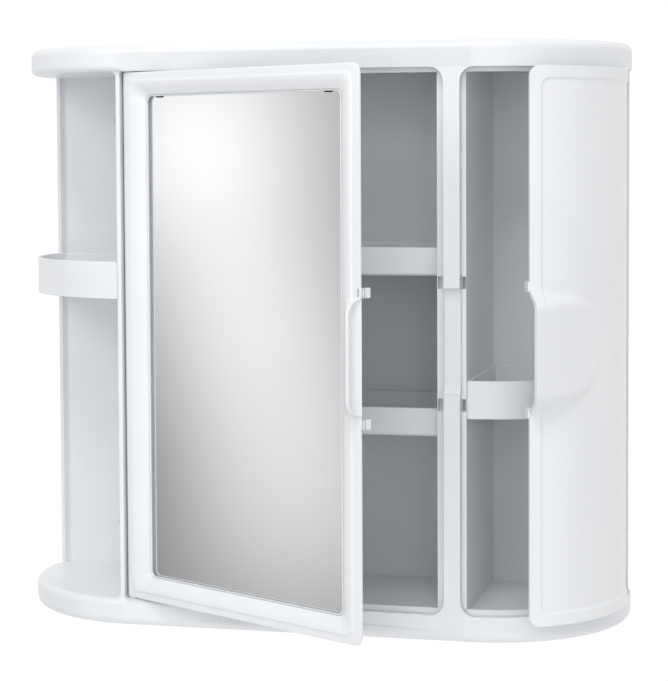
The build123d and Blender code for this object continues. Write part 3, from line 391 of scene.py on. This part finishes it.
# Left tray
# A deep tray of white plastic in the open bay. Its front follows the rounded end of the cabinet, set back
# 4 mm. Tabs on its right side plug into the divider, and its lower edge is softly rounded.
left_tray_level, tray_height, skin, tray_inset, tray_back = 0.0347, 0.0337, 0.0026, 0.004, 0.0032
tab_places, tab_width, tab_height, tab_rise, tab_reach = (-0.110, -0.035), 0.014, 0.005, 0.0115, 0.0024


def tray_block(bm, edges, height, wall):
    """Open tray: a block with its top pushed in to leave a rim and a floor."""
    raise_block(bm, edges, (0, 0, height))
    roof = max(bm.faces, key=lambda face: face.calc_center_median().z)
    bmesh.ops.inset_region(bm, faces=[roof], thickness=wall, use_even_offset=True)
    grown = bmesh.ops.extrude_face_region(bm, geom=[roof])
    bmesh.ops.translate(bm, vec=(0, 0, wall - height),
                        verts=[item for item in grown["geom"] if isinstance(item, bmesh.types.BMVert)])
    bmesh.ops.delete(bm, geom=[roof], context="FACES_ONLY")


def add_tabs(bm, low_x, high_x, floor_z):
    """Two tabs that plug into the wall beside a shelf."""
    for middle in tab_places:
        made = bmesh.ops.create_cube(bm, size=1)["verts"]
        bmesh.ops.scale(bm, vec=(high_x - low_x, tab_width, tab_height), verts=made)
        bmesh.ops.translate(bm, vec=((low_x + high_x) / 2, middle, floor_z + tab_rise), verts=made)
        rims = list({edge for vert in made for edge in vert.link_edges})
        soften(bm, rims, 0.0004, 2)


start, moves = end_plan(tray_inset, tray_back)
tray_turn = 90 - degrees(asin((-divider_left - end_centre) / (end_radius - tray_inset)))
left_tray = bmesh.new()
edges = draw_outline(left_tray, start, [
    moves[0], (-end_centre, side_line, tray_turn, 30), (divider_left, -tray_back)], level=left_tray_level)
tray_block(left_tray, edges, tray_height, skin)
under = [edge for edge in left_tray.edges if highest(edge, 2) < left_tray_level + 1e-5
         and highest(edge, 0) < divider_left - 1e-4 and lowest(edge, 1) < -0.01]
soften(left_tray, under, 0.003, 5)
left_rim_level = left_tray_level + tray_height
upper_rim = [edge for edge in left_tray.edges if lowest(edge, 2) > left_rim_level - 1e-5]
soften(left_tray, upper_rim, 0.0008, 3)
add_tabs(left_tray, divider_left, divider_left + tab_reach, left_tray_level)
finish_piece("left_tray_moulding", left_tray, "cabinet", "body_plastic", body_white, "left_tray")

# Middle shelves
# Two shelves of white plastic from one mould between divider and upright: a floor with an upright lip all
# round. Their front edges are rounded and their tabs sit in slots at both sides.
shelf_front, shelf_height = -0.1285, 0.0254
for node, level in (("upper_shelf", 0.0567), ("lower_shelf", -0.087)):
    shelf = bmesh.new()
    edges = draw_outline(shelf, (divider_right, panel_front), [
        (divider_right, shelf_front), (plate_left, shelf_front), (plate_left, panel_front)], level=level)
    tray_block(shelf, edges, shelf_height, skin)
    front_under = [edge for edge in shelf.edges if highest(edge, 1) < shelf_front + 0.0001
                   and highest(edge, 2) < level + 1e-5]
    soften(shelf, front_under, 0.003, 5)
    rims = [edge for edge in shelf.edges if lowest(edge, 2) > level + shelf_height - 1e-5]
    soften(shelf, rims, 0.0008, 3)
    add_tabs(shelf, divider_right - tab_reach, divider_right, level)
    add_tabs(shelf, plate_left, plate_left + tab_reach, level)
    finish_piece(node + "_moulding", shelf, "cabinet", "body_plastic", body_white, node)

# Right tray
# A deep tray of white plastic behind the curved door, set back 15 mm inside the rounded end so that the
# door's ribs pass. Its rear corner is cut back round the door's hinge, and tabs plug into the upright.
right_tray_level, set_back = -0.0684, 0.015
hinge_x, hinge_y, hinge_sweep = 0.2672, -0.038, 0.0175
tray_radius = end_radius - set_back
gap_x, gap_y = hinge_x - end_centre, hinge_y - side_line
gap = sqrt(gap_x ** 2 + gap_y ** 2)
along = (tray_radius ** 2 - hinge_sweep ** 2 + gap ** 2) / (2 * gap)
aside = sqrt(tray_radius ** 2 - along ** 2)
meet_x = end_centre + (gap_x * along + gap_y * aside) / gap
meet_y = side_line + (gap_y * along - gap_x * aside) / gap
front_turn = 90 + degrees(atan2(meet_y - side_line, meet_x - end_centre))
back_turn = 180 + degrees(atan2(meet_y - hinge_y, meet_x - hinge_x))
right_tray = bmesh.new()
edges = draw_outline(right_tray, (upright_right, panel_front), [
    (upright_right, side_line - tray_radius), (end_centre, side_line - tray_radius),
    (end_centre, side_line, front_turn, 22), (hinge_x, hinge_y, -back_turn, 10),
    (hinge_x - hinge_sweep, panel_front)], level=right_tray_level)
tray_block(right_tray, edges, tray_height, skin)
under = [edge for edge in right_tray.edges if highest(edge, 2) < right_tray_level + 1e-5
         and highest(edge, 1) < -0.05 and lowest(edge, 0) > upright_right - 1e-4]
soften(right_tray, under, 0.002, 4)
right_rim_level = right_tray_level + tray_height
upper_rim = [edge for edge in right_tray.edges if lowest(edge, 2) > right_rim_level - 1e-5]
soften(right_tray, upper_rim, 0.0008, 3)
add_tabs(right_tray, upright_right - tab_reach, upright_right, right_tray_level)
finish_piece("right_tray_moulding", right_tray, "cabinet", "body_plastic", body_white, "right_tray")

# Hinge bushes and pins
# Bearing bushes of natural white plastic are pressed into the mouldings, and ground steel pins of the doors
# turn in them. Their flanges fill the gap above and below each door at the hinge.
natural_plastic = moulded_plastic("natural_plastic", (0.74, 0.74, 0.72), (0.69, 0.69, 0.67), 0.5,
                                  0.0001, 7.0)
for node in ("mirror_door_bushes", "side_door_bushes"):
    finish_piece(node + "_turned", merged_copy(node), "cabinet", "bush_plastic", natural_plastic, node)
ground_steel = plated_steel.copy()
ground_steel.name = "ground_steel"
for node, body in (("mirror_door_pivots", "mirror_door"), ("side_door_pivots", "side_door")):
    finish_piece(node + "_ground", merged_copy(node), body, "pin_steel", ground_steel, node)

# Frame of the mirror door
# One moulding of white plastic: a flange round the outside, a low crest, a face that falls in a dish towards
# the mirror, and a lip set off by a thin groove. At its free edge a finger pull swells out, and two tabs
# snap into the upright. Its left edge is a round bar about the hinge pins.
mirror_turn = radians(28.9)
mirror_hinge = Vector((-0.1539, -0.144, 0))
knuckle, door_reach, door_half = 0.007, 0.2844, 0.240
slimmer_ends, wider_left = 0.83, 1.09
crest, flange_front, flange_rear, glass_seat, door_rear = -0.008, -0.0068, -0.004, 0.0025, 0.013
box_low, box_high, box_half, box_wall = 0.0068, 0.2682, 0.2352, 0.0026
door_white = moulded_plastic("door_white", (0.815, 0.83, 0.848), (0.785, 0.80, 0.822), 0.33, 0.0001, 11.0)


def hang(bm, hinge, turn):
    """Turns a mesh drawn closed about its own hinge axis to the open angle of its door."""
    bmesh.ops.rotate(bm, verts=bm.verts, cent=(0, 0, 0), matrix=Matrix.Rotation(turn, 3, "Z"))
    bmesh.ops.translate(bm, vec=hinge, verts=bm.verts)


def round_loop(bm, low_x, high_x, half_z, left_round, right_round, level):
    """Closed rectangular loop with rounded corners in a plane parallel to the door."""
    left, right = max(left_round, 0.0002), max(right_round, 0.0002)
    return draw_outline(bm, (low_x + left, -half_z), [
        (high_x - right, -half_z), (high_x - right, right - half_z, 90, 8), (high_x, half_z - right),
        (high_x - right, half_z - right, 90, 8), (low_x + left, half_z),
        (low_x + left, half_z - left, 90, 8), (low_x, left - half_z),
        (low_x + left, left - half_z, 90, 8)], flat="XZ", level=level)


def framed_rim(inset, level, corner):
    """Rim of the door's face: left, right, half height, left and right corner, and depth."""
    low_x, high_x = -knuckle + wider_left * inset, door_reach - inset
    return low_x, high_x, door_half - slimmer_ends * inset, corner, corner, level


def grow_rim(bm, edges, old, new):
    """Extrudes a rim of the door and moves each new corner to the next rim's place."""
    grown = bmesh.ops.extrude_edge_only(bm, edges=edges)["geom"]
    for vert in [item for item in grown if isinstance(item, bmesh.types.BMVert)]:
        side, part = (1, 4) if vert.co.x > (old[0] + old[1]) / 2 else (0, 3)
        inward, up = (-1, 1)[side == 0], (-1, 1)[vert.co.z > 0]
        lean_x = (vert.co.x - old[side] - inward * old[part]) / old[part]
        lean_z = (vert.co.z - up * (old[2] - old[part])) / old[part]
        vert.co = (new[side] + inward * new[part] + lean_x * new[part], new[5],
                   up * (new[2] - new[part]) + lean_z * new[part])
    return [item for item in grown if isinstance(item, bmesh.types.BMEdge)]


door_frame = bmesh.new()
# Rims from the glass seat round the rear box, over flange, crest and dish, and back behind the lip. Each is
# low x, high x, half height, left corner, right corner and depth.
rims = [
    (box_low + box_wall, box_high - box_wall, box_half - box_wall, 0.0045, 0.0045, glass_seat),
    (box_low + box_wall, box_high - box_wall, box_half - box_wall, 0.0045, 0.0045, door_rear),
    (box_low, box_high, box_half, 0.007, 0.007, door_rear),
    (box_low, box_high, box_half, 0.007, 0.007, flange_rear),
    (0.0, door_reach - 0.0005, door_half - 0.0005, 0.001, 0.0080, flange_rear)]
rims += [(0.0, door_reach, door_half, 0.001, 0.0085, flange_rear - 0.0005 - 0.0002 * step)
         for step in range(8)]
rims += [
    (0.0, door_reach - 0.0003, door_half - 0.0003, 0.001, 0.0082, flange_front + 0.0003),
    (0.0004, door_reach - 0.0009, door_half - 0.0009, 0.001, 0.0078, flange_front),
    (0.0006, door_reach - 0.0016, door_half - 0.0014, 0.0015, 0.0076, flange_front),
    (0.0008, door_reach - 0.0025, door_half - 0.0021, 0.002, 0.0074, flange_front),
    (0.0009, door_reach - 0.0037, door_half - 0.0032, 0.0025, 0.0072, flange_front),
    (0.0010, door_reach - 0.0050, door_half - 0.0045, 0.003, 0.0070, flange_front),
    (0.0010, door_reach - 0.0064, door_half - 0.0057, 0.004, 0.0069, flange_front),
    framed_rim(0.0080, flange_front, 0.0068),
    framed_rim(0.0084, flange_front - 0.0002, 0.0066),
    framed_rim(0.0089, crest + 0.0002, 0.0062),
    framed_rim(0.0094, crest, 0.0062),
    framed_rim(0.0100, crest, 0.0070)]
rims += [framed_rim(0.0105 + 0.00138 * step, crest + 0.007 * (step / 10) ** 1.6, 0.0095 - 0.00035 * step)
         for step in range(11)]
lip = crest + 0.007
rims += [framed_rim(0.0245, lip + 0.0004, 0.0059), framed_rim(0.0246, lip + 0.0015, 0.0058),
         framed_rim(0.0254, lip + 0.0015, 0.0052), framed_rim(0.0255, lip + 0.0003, 0.0051),
         framed_rim(0.0258, lip, 0.0051), framed_rim(0.0262, lip + 0.0001, 0.0050),
         framed_rim(0.0265, lip + 0.0005, 0.0050), framed_rim(0.0263, lip + 0.0013, 0.0050),
         framed_rim(0.0235, lip + 0.0018, 0.0060), framed_rim(0.0225, glass_seat, 0.0060), rims[0]]
edges = round_loop(door_frame, *rims[0])
for old, new in zip(rims, rims[1:]):
    edges = grow_rim(door_frame, edges, old, new)
bmesh.ops.remove_doubles(door_frame, verts=door_frame.verts, dist=1e-6)
bmesh.ops.recalc_face_normals(door_frame, faces=door_frame.faces)
# Finger pull, raised out of the free side between two soft ramps
pull_top, pull_bottom, pull_ramp = 0.047, -0.049, 0.013
pull_rise, pull_fall, pull_base, pull_hollow, pull_rim = 0.0150, 0.0225, 0.022, 0.005, 0.0025
edge_rise, edge_height, pull_zone = 0.0162, 0.0014, 0.0262
levels = [pull_top - pull_ramp * step / 12 for step in range(13)]
levels += [pull_bottom + pull_ramp * step / 12 for step in range(13)] + [0.02, 0.0, -0.02]
for level in levels:
    near = [item for item in door_frame.verts[:] + door_frame.edges[:] + door_frame.faces[:]
            if (item.co.x if isinstance(item, bmesh.types.BMVert) else
                max(v.co.x for v in item.verts)) > door_reach - pull_zone]
    bmesh.ops.bisect_plane(door_frame, geom=near, plane_co=(0, 0, level), plane_no=(0, 0, 1))
for vert in door_frame.verts:
    x, y, z = vert.co
    if x > door_reach - pull_base and pull_bottom < z < pull_top and y < flange_rear - 0.0004:
        window = min(1.0, min(pull_top - z, z - pull_bottom) / pull_ramp)
        window = sqrt(max(0.0, 1 - (1 - window) ** 2))
        share = min((x - door_reach + pull_base) / pull_base, 1.0)
        if x > door_reach - 0.0001:
            depth = (flange_rear - 0.0005 - y) / edge_height
            vert.co.y -= (edge_rise - pull_rim) * depth * window
            vert.co.x -= pull_hollow * sin(pi * depth) * window
        else:
            near_tip = max(0.0, (x - door_reach + pull_rim) / pull_rim)
            front = crest - pull_rise + pull_fall * (1 - share) ** 1.3
            front += pull_rim * (1 - sqrt(1 - near_tip ** 2))
            vert.co.y += (min(y, front) - y) * window
# Round hinge edge, a little wider than deep
bar_steps, bar_widening = 40, 1.2
knuckle_bar = bmesh.ops.create_circle(door_frame, segments=bar_steps, radius=knuckle, cap_ends=True)["verts"]
bmesh.ops.scale(door_frame, vec=(bar_widening, 1, 1), verts=knuckle_bar)
bmesh.ops.translate(door_frame, vec=(0, 0, -door_half), verts=knuckle_bar)
end_face = [face for face in knuckle_bar[0].link_faces if len(face.verts) == bar_steps]
grown = bmesh.ops.extrude_face_region(door_frame, geom=end_face)
bar_top = [item for item in grown["geom"] if isinstance(item, bmesh.types.BMVert)]
bmesh.ops.translate(door_frame, vec=(0, 0, 2 * door_half), verts=bar_top)
bar_faces = list({face for vert in knuckle_bar + bar_top for face in vert.link_faces})
bmesh.ops.recalc_face_normals(door_frame, faces=bar_faces)
bar_rims = [edge for edge in {edge for face in bar_faces for edge in face.edges}
            if abs(edge.verts[0].co.z - edge.verts[1].co.z) < 1e-6]
soften(door_frame, bar_rims, 0.0006, 2)
# Catch tabs
tab_levels = ((0.048, 0.0565), (-0.060, -0.0515))


def add_hooks(bm, arm, hook, width):
    """Catch tabs: at both levels an arm and its hook, each given as low x, high x, low y, high y."""
    for low, high in tab_levels:
        for low_x, high_x, low_y, high_y in (arm, hook):
            made = bmesh.ops.create_cube(bm, size=1)["verts"]
            bmesh.ops.scale(bm, vec=(high_x - low_x, high_y - low_y, high - low), verts=made)
            middle = Vector((low_x + high_x, low_y + high_y, low + high)) / 2
            bmesh.ops.translate(bm, vec=middle, verts=made)
            soften(bm, list({edge for vert in made for edge in vert.link_edges}), width, 2)


hook_tip = door_reach + 0.0044
add_hooks(door_frame, (door_reach - 0.003, hook_tip, flange_front, flange_rear),
          (door_reach + 0.0014, hook_tip, flange_front, flange_rear + 0.006), 0.0006)
hang(door_frame, mirror_hinge, -mirror_turn)
finish_piece("mirror_door_moulding", door_frame, "mirror_door", "door_plastic", door_white,
             "mirror_door_frame")

# Mirror glass
# Silvered float glass, 3 mm thick, laid from behind onto its seat in the frame. Its edges are ground.
# Faint wiping marks show in its polish.
silvered_glass = bpy.data.materials.new("silvered_glass")
silvered_glass.use_nodes = True
glass_nodes, glass_links = silvered_glass.node_tree.nodes, silvered_glass.node_tree.links
glass_shader = glass_nodes["Principled BSDF"]
glass_place = glass_nodes.new("ShaderNodeTexCoord")
smear = glass_nodes.new("ShaderNodeTexNoise")
smear.inputs["Scale"].default_value = 9.0
smear.inputs["Detail"].default_value = 7.0
smear.inputs["Distortion"].default_value = 1.4
glass_links.new(glass_place.outputs["Object"], smear.inputs["Vector"])
smear_rough = glass_nodes.new("ShaderNodeMapRange")
smear_rough.inputs["From Min"].default_value = 0.35
smear_rough.inputs["From Max"].default_value = 0.75
smear_rough.inputs["To Min"].default_value = 0.015
smear_rough.inputs["To Max"].default_value = 0.06
glass_links.new(smear.outputs["Fac"], smear_rough.inputs["Value"])
glass_links.new(smear_rough.outputs["Result"], glass_shader.inputs["Roughness"])
silver_tone = glass_nodes.new("ShaderNodeValToRGB")
silver_tone.color_ramp.elements[0].color = (0.86, 0.865, 0.87, 1)
silver_tone.color_ramp.elements[1].color = (0.90, 0.905, 0.91, 1)
glass_links.new(smear.outputs["Fac"], silver_tone.inputs["Fac"])
glass_links.new(silver_tone.outputs["Color"], glass_shader.inputs["Base Color"])
glass_shader.inputs["Metallic"].default_value = 1.0
glass_left, glass_right, glass_half, glass_round, glass_wall = 0.0137, 0.2637, 0.2228, 0.005, 0.0029
glass = bmesh.new()
glass_rim = round_loop(glass, glass_left, glass_right, glass_half, glass_round, glass_round,
                       glass_seat + 0.0001)
raise_block(glass, glass_rim, (0, glass_wall, 0))
ground_edges = [edge for edge in glass.edges if abs(edge.verts[0].co.y - edge.verts[1].co.y) < 1e-6]
soften(glass, ground_edges, 0.0005, 2)
hang(glass, mirror_hinge, -mirror_turn)
finish_piece("mirror_pane", glass, "mirror_door", "mirror", silvered_glass, "mirror_glass")

# Clips, backing sheet and cover of the mirror door
# Dark spring-steel clips hold the edge of the glass, and a foamed grey sheet presses it onto its seat.
# A thin white cover closes the back of the door.
dark_steel = plated_steel.copy()
dark_steel.name = "dark_steel"
dark_ramp = [node for node in dark_steel.node_tree.nodes if node.type == "VALTORGB"][0].color_ramp
dark_ramp.elements[0].color = (0.018, 0.018, 0.02, 1)
dark_ramp.elements[1].color = (0.04, 0.04, 0.043, 1)
foam_grey = moulded_plastic("foam_grey", (0.30, 0.31, 0.32), (0.24, 0.25, 0.26), 0.8, 0.0006, 17.0)
finish_piece("glass_clips", merged_copy("mirror_clips"), "mirror_door", "clip_steel", dark_steel,
             "mirror_clips")
finish_piece("backing", merged_copy("mirror_backing_sheet"), "mirror_door", "backing", foam_grey,
             "mirror_backing_sheet")
cover_left, cover_right, cover_half, cover_round, cover_wall = 0.0072, 0.2653, 0.2323, 0.0045, 0.002
door_cover = bmesh.new()
cover_rim = round_loop(door_cover, cover_left, cover_right, cover_half, cover_round, cover_round,
                       door_rear - cover_wall)
raise_block(door_cover, cover_rim, (0, cover_wall, 0))
soften(door_cover, [edge for edge in door_cover.edges if lowest(edge, 1) > door_rear - 0.0001], 0.0008, 3)
hang(door_cover, mirror_hinge, -mirror_turn)
finish_piece("door_cover", door_cover, "mirror_door", "door_plastic", door_white, "mirror_door_back")

# Side door
# A curved moulding of white plastic with a raised border round a plain field, and a hollow grip that swells
# out at its free edge. It hangs on pins at the rear right.
side_turn = radians(27.2)
side_hinge = Vector((hinge_x, hinge_y, 0))
curve_x, curve_y, shell_radius, shell_wall = -0.1077, 0.008, 0.121, 0.0031
free_x = -0.1142
straight = curve_x - free_x
shell_length = straight + shell_radius * radians(90.47)
border, border_round, border_slope, field_drop = 0.011, 0.008, 0.0024, 0.0012
grip_rise, grip_far_turn, flank_slope = 0.0190, radians(36.2), 1.5
grip_top, grip_bottom, grip_length = 0.050, -0.057, 0.073
upper_taper, lower_taper = 0.012 / 0.071, 0.017 / 0.071


def shell_point(s, z, lift):
    """Point of the door's outer face at the distance s from its free edge."""
    if s < straight:
        return Vector((free_x + s, curve_y - shell_radius - lift, z))
    turn = (s - straight) / shell_radius
    reach = shell_radius + lift
    return Vector((curve_x + reach * sin(turn), curve_y - reach * cos(turn), z))


def soft_max(a, b, reach):
    """Larger of two values, with a soft change where they come within reach of each other."""
    share = max(reach - abs(a - b), 0.0) / reach
    return max(a, b) + share * share * reach * 0.25


far_point = shell_point(straight + shell_radius * grip_far_turn, 0, 0)
outward = Vector((sin(grip_far_turn), -cos(grip_far_turn), 0))
mouth = Vector((free_x, curve_y - shell_radius - grip_rise, 0))
grip_radius = -(mouth - far_point).length_squared / (2 * (mouth - far_point).dot(outward))
grip_centre = far_point - outward * grip_radius


def grip_lift(point):
    """Height of the grip over the door's face, between its curved front and its steep flanks."""
    along_door = point.x - free_x
    reach = grip_radius ** 2 - (point.x - grip_centre.x) ** 2
    face = point.y - grip_centre.y + sqrt(max(reach, 0.0))
    upper = point.z - grip_top + along_door * upper_taper
    lower = grip_bottom - point.z + along_door * lower_taper
    outside = soft_max(soft_max(upper, lower, 0.016), along_door - grip_length, 0.034)
    return soft_max(-soft_max(-face, flank_slope * outside, 0.006), 0.0, 0.003)


side_shell = bmesh.new()
half, free_round = door_half, 0.010
edges = draw_outline(side_shell, (shell_length, -half), [
    (shell_length, half), (free_round, half), (free_round, half - free_round, 90, 8),
    (0.0, free_round - half), (free_round, free_round - half, 90, 8)], flat="XZ")
bmesh.ops.contextual_create(side_shell, geom=edges)
# Cuts through the flat sheet, close together at the border and under the grip
s_lines = [border - 0.0016 + 0.0008 * step for step in range(14)]
s_lines += [shell_length - s for s in s_lines] + [0.024 + 0.0024 * step for step in range(36)]
s_lines += [0.112 + 0.004 * step for step in range(19)] + [0.0008, 0.003, 0.006]
z_lines = [half - border + 0.0016 - 0.0008 * step for step in range(14)]
z_lines += [-z for z in z_lines] + [0.0026 * step - 0.0858 for step in range(67)]
z_lines += [side * (0.095 + 0.010 * step) for step in range(13) for side in (-1, 1)]
z_lines += [half - 0.001, 0.001 - half]
cuts = [((s, 0, 0), (1, 0, 0)) for s in s_lines] + [((0, 0, z), (0, 0, 1)) for z in z_lines]
for spot, direction in cuts:
    cut_through(side_shell, spot, direction, 1e-6)
for vert in side_shell.verts:
    s, z = vert.co.x, vert.co.z
    centre_s = shell_length / 2
    across = abs(s - centre_s) - (centre_s - border - border_round)
    upward = abs(z) - (half - border - border_round)
    outside = Vector((max(across, 0.0), max(upward, 0.0))).length - border_round
    outside += min(max(across, upward), 0.0)
    share = min(max(0.5 - outside / border_slope, 0.0), 1.0)
    lift = -field_drop * share * share * (3 - 2 * share)
    point = shell_point(s, z, lift)
    if point.x < far_point.x + 0.012 and abs(z) < 0.095:
        point.y -= grip_lift(point)
    vert.co = point
bmesh.ops.recalc_face_normals(side_shell, faces=side_shell.faces)
shell_axis = Vector((curve_x, curve_y, 0))
if sum(face.normal.dot(face.calc_center_median() - shell_axis) for face in side_shell.faces) < 0:
    bmesh.ops.reverse_faces(side_shell, faces=side_shell.faces)
bmesh.ops.solidify(side_shell, geom=side_shell.faces[:], thickness=shell_wall)
hang(side_shell, side_hinge, side_turn)
finish_piece("side_door_moulding", side_shell, "side_door", "door_plastic", door_white, "side_door_shell")

# Ribs, hinge arms and catch tabs of the side door
# They are moulded in one with the door, of the same white plastic. The ribs pass inside the curbs, the arms
# carry the hinge pins, and the tabs snap into the upright.
side_inner = bmesh.new()
rib_outer, rib_inner = shell_radius - 0.0016, shell_radius - 0.0121
rib_left, rib_level, rib_wall = -0.1107, 0.2352, 0.0026
arm_turn, arm_round, arm_height = 78.0, 0.0065, 0.012
lean_x, lean_y = sin(radians(arm_turn)), cos(radians(arm_turn))
for side in (-1, 1):
    raise_block(side_inner, draw_outline(side_inner, (rib_left, curve_y - rib_outer), [
        (curve_x, curve_y - rib_outer), (curve_x, curve_y, arm_turn, 24),
        (curve_x + rib_inner * lean_x, curve_y - rib_inner * lean_y),
        (curve_x, curve_y, -arm_turn, 24), (rib_left, curve_y - rib_inner)], level=side * rib_level),
        (0, 0, -side * rib_wall))
    raise_block(side_inner, draw_outline(side_inner, (0, -arm_round), [
        (curve_x + rib_outer * lean_x, curve_y - rib_outer * lean_y), (curve_x + rib_outer, curve_y),
        (0, arm_round), (0, 0, 180, 14)], level=side * (door_half - 0.0001)), (0, 0, -side * arm_height))
rims = [edge for edge in side_inner.edges if edge.calc_face_angle(0) > 1.0]
soften(side_inner, rims, 0.0004, 2)
front, rear = curve_y - shell_radius, curve_y - shell_radius + shell_wall
add_hooks(side_inner, (free_x - 0.0016, free_x + 0.0016, front + 0.0002, rear),
          (free_x - 0.0008, free_x + 0.0016, front + 0.0015, rear + 0.008), 0.0005)
hang(side_inner, side_hinge, side_turn)
finish_piece("side_door_ribs", side_inner, "side_door", "door_plastic", door_white)

# Floor, light and camera
# A pale floor lies far below the hanging cabinet. Soft boxes light it from the upper left, the front, the
# right and above, in a pale room with a few bright patches for the mirror. The camera stands at the
# photograph's angle.
floor_level, floor_reach = -1.25, 2.5
floor_mesh = bmesh.new()
bmesh.ops.create_grid(floor_mesh, x_segments=2, y_segments=2, size=floor_reach)
bmesh.ops.translate(floor_mesh, vec=(0, 0.3, floor_level), verts=floor_mesh.verts)
floor_data = bpy.data.meshes.new("studio_floor")
floor_mesh.to_mesh(floor_data)
floor_mesh.free()
floor = bpy.data.objects.new("studio_floor", floor_data)
bpy.context.scene.collection.objects.link(floor)
pale = bpy.data.materials.new("pale_floor")
pale.use_nodes = True
pale_shader = pale.node_tree.nodes["Principled BSDF"]
pale_shader.inputs["Base Color"].default_value = (0.93, 0.93, 0.93, 1)
pale_shader.inputs["Roughness"].default_value = 0.9
floor_data.materials.append(pale)
floor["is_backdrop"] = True

scene = bpy.context.scene
scene.view_settings.view_transform = "Standard"
scene.world = bpy.data.worlds.new("studio")
scene.world.use_nodes = True
studio_nodes, studio_links = scene.world.node_tree.nodes, scene.world.node_tree.links
sky = studio_nodes["Background"]
sky.inputs["Strength"].default_value = 1.0
heading = studio_nodes.new("ShaderNodeTexCoord")


def glow(toward, tightness, strength):
    """Soft patch of studio light in one direction."""
    facing = studio_nodes.new("ShaderNodeVectorMath")
    facing.operation = "DOT_PRODUCT"
    facing.inputs[1].default_value = Vector(toward).normalized()
    studio_links.new(heading.outputs["Generated"], facing.inputs[0])
    apart = studio_nodes.new("ShaderNodeMath")
    apart.operation = "MULTIPLY_ADD"
    apart.inputs[1].default_value = tightness
    apart.inputs[2].default_value = -tightness
    studio_links.new(facing.outputs["Value"], apart.inputs[0])
    patch = studio_nodes.new("ShaderNodeMath")
    patch.operation = "EXPONENT"
    studio_links.new(apart.outputs["Value"], patch.inputs[0])
    scaled = studio_nodes.new("ShaderNodeMath")
    scaled.operation = "MULTIPLY"
    scaled.inputs[1].default_value = strength
    studio_links.new(patch.outputs["Value"], scaled.inputs[0])
    return scaled


def bearing(axis, low, high, low_value, high_value):
    """Studio light that changes softly along one axis of the room."""
    split = studio_nodes.new("ShaderNodeSeparateXYZ")
    studio_links.new(heading.outputs["Generated"], split.inputs["Vector"])
    change = studio_nodes.new("ShaderNodeMapRange")
    change.interpolation_type = "SMOOTHSTEP"
    limits = {"From Min": low, "From Max": high, "To Min": low_value, "To Max": high_value}
    for name, value in limits.items():
        change.inputs[name].default_value = value
    studio_links.new(split.outputs[axis], change.inputs["Value"])
    return change


def joined(first, second, operation):
    """Two amounts of studio light, added or multiplied."""
    both = studio_nodes.new("ShaderNodeMath")
    both.operation = operation
    studio_links.new(first.outputs[0], both.inputs[0])
    studio_links.new(second.outputs[0], both.inputs[1])
    return both


room = joined(bearing("Y", 0.05, 0.45, 0.62, 1.02), bearing("Z", -0.85, -0.27, 0.20, 1.0), "MULTIPLY")
# Direction, tightness and strength of each patch that the mirror shows
mirror_patches = (
    ((-0.9428, -0.2856, -0.1718), 436, 0.541),
    ((-0.9589, -0.2698, -0.0880), 466, 0.660),
    ((-0.9721, -0.2138, -0.0967), 41, -0.600),
    ((-0.9696, -0.2446, 0.0077), 395, 0.900))
for toward, tightness, strength in mirror_patches:
    room = joined(room, glow(toward, tightness, strength), "ADD")
studio_links.new(room.outputs[0], sky.inputs["Color"])


def soft_box(name, place, aim, size, power, tint):
    """Rectangular studio lamp aimed at a spot."""
    lamp = bpy.data.lights.new(name, "AREA")
    lamp.shape = "RECTANGLE"
    lamp.size, lamp.size_y = size
    lamp.energy = power
    lamp.color = tint
    holder = bpy.data.objects.new(name, lamp)
    scene.collection.objects.link(holder)
    holder.location = place
    holder.rotation_euler = (Vector(aim) - Vector(place)).to_track_quat("-Z", "Y").to_euler()


soft_box("key", (-0.9, -1.7, 1.1), (0, -0.1, 0), (0.8, 0.8), 6.0, (1.0, 0.998, 0.992))
soft_box("front_fill", (0.2, -3.0, 0.5), (0, -0.1, 0), (2.0, 2.0), 14.0, (0.985, 0.992, 1.0))
soft_box("right_fill", (1.3, -2.2, 0.3), (0, -0.1, 0), (1.2, 1.2), 5.0, (0.985, 0.992, 1.0))
soft_box("upper_fill", (0.2, -1.5, 1.9), (0, -0.1, 0), (0.8, 0.8), 15.0, (1.0, 0.998, 0.994))

camera_data = bpy.data.cameras.new("camera")
camera = bpy.data.objects.new("camera", camera_data)
scene.collection.objects.link(camera)
camera_data.lens = 105.2
camera_data.sensor_width = 36
camera_data.shift_x = -0.0349
camera_data.shift_y = -0.122
camera.location = (0.462, -1.8629, 0.1662)
camera_aim = Matrix.Rotation(radians(13.2709), 4, "Z") @ Matrix.Rotation(radians(90 - 3.0), 4, "X")
camera.rotation_euler = (camera_aim @ Matrix.Rotation(radians(-0.2466), 4, "Z")).to_euler()
scene.camera = camera

low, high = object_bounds()
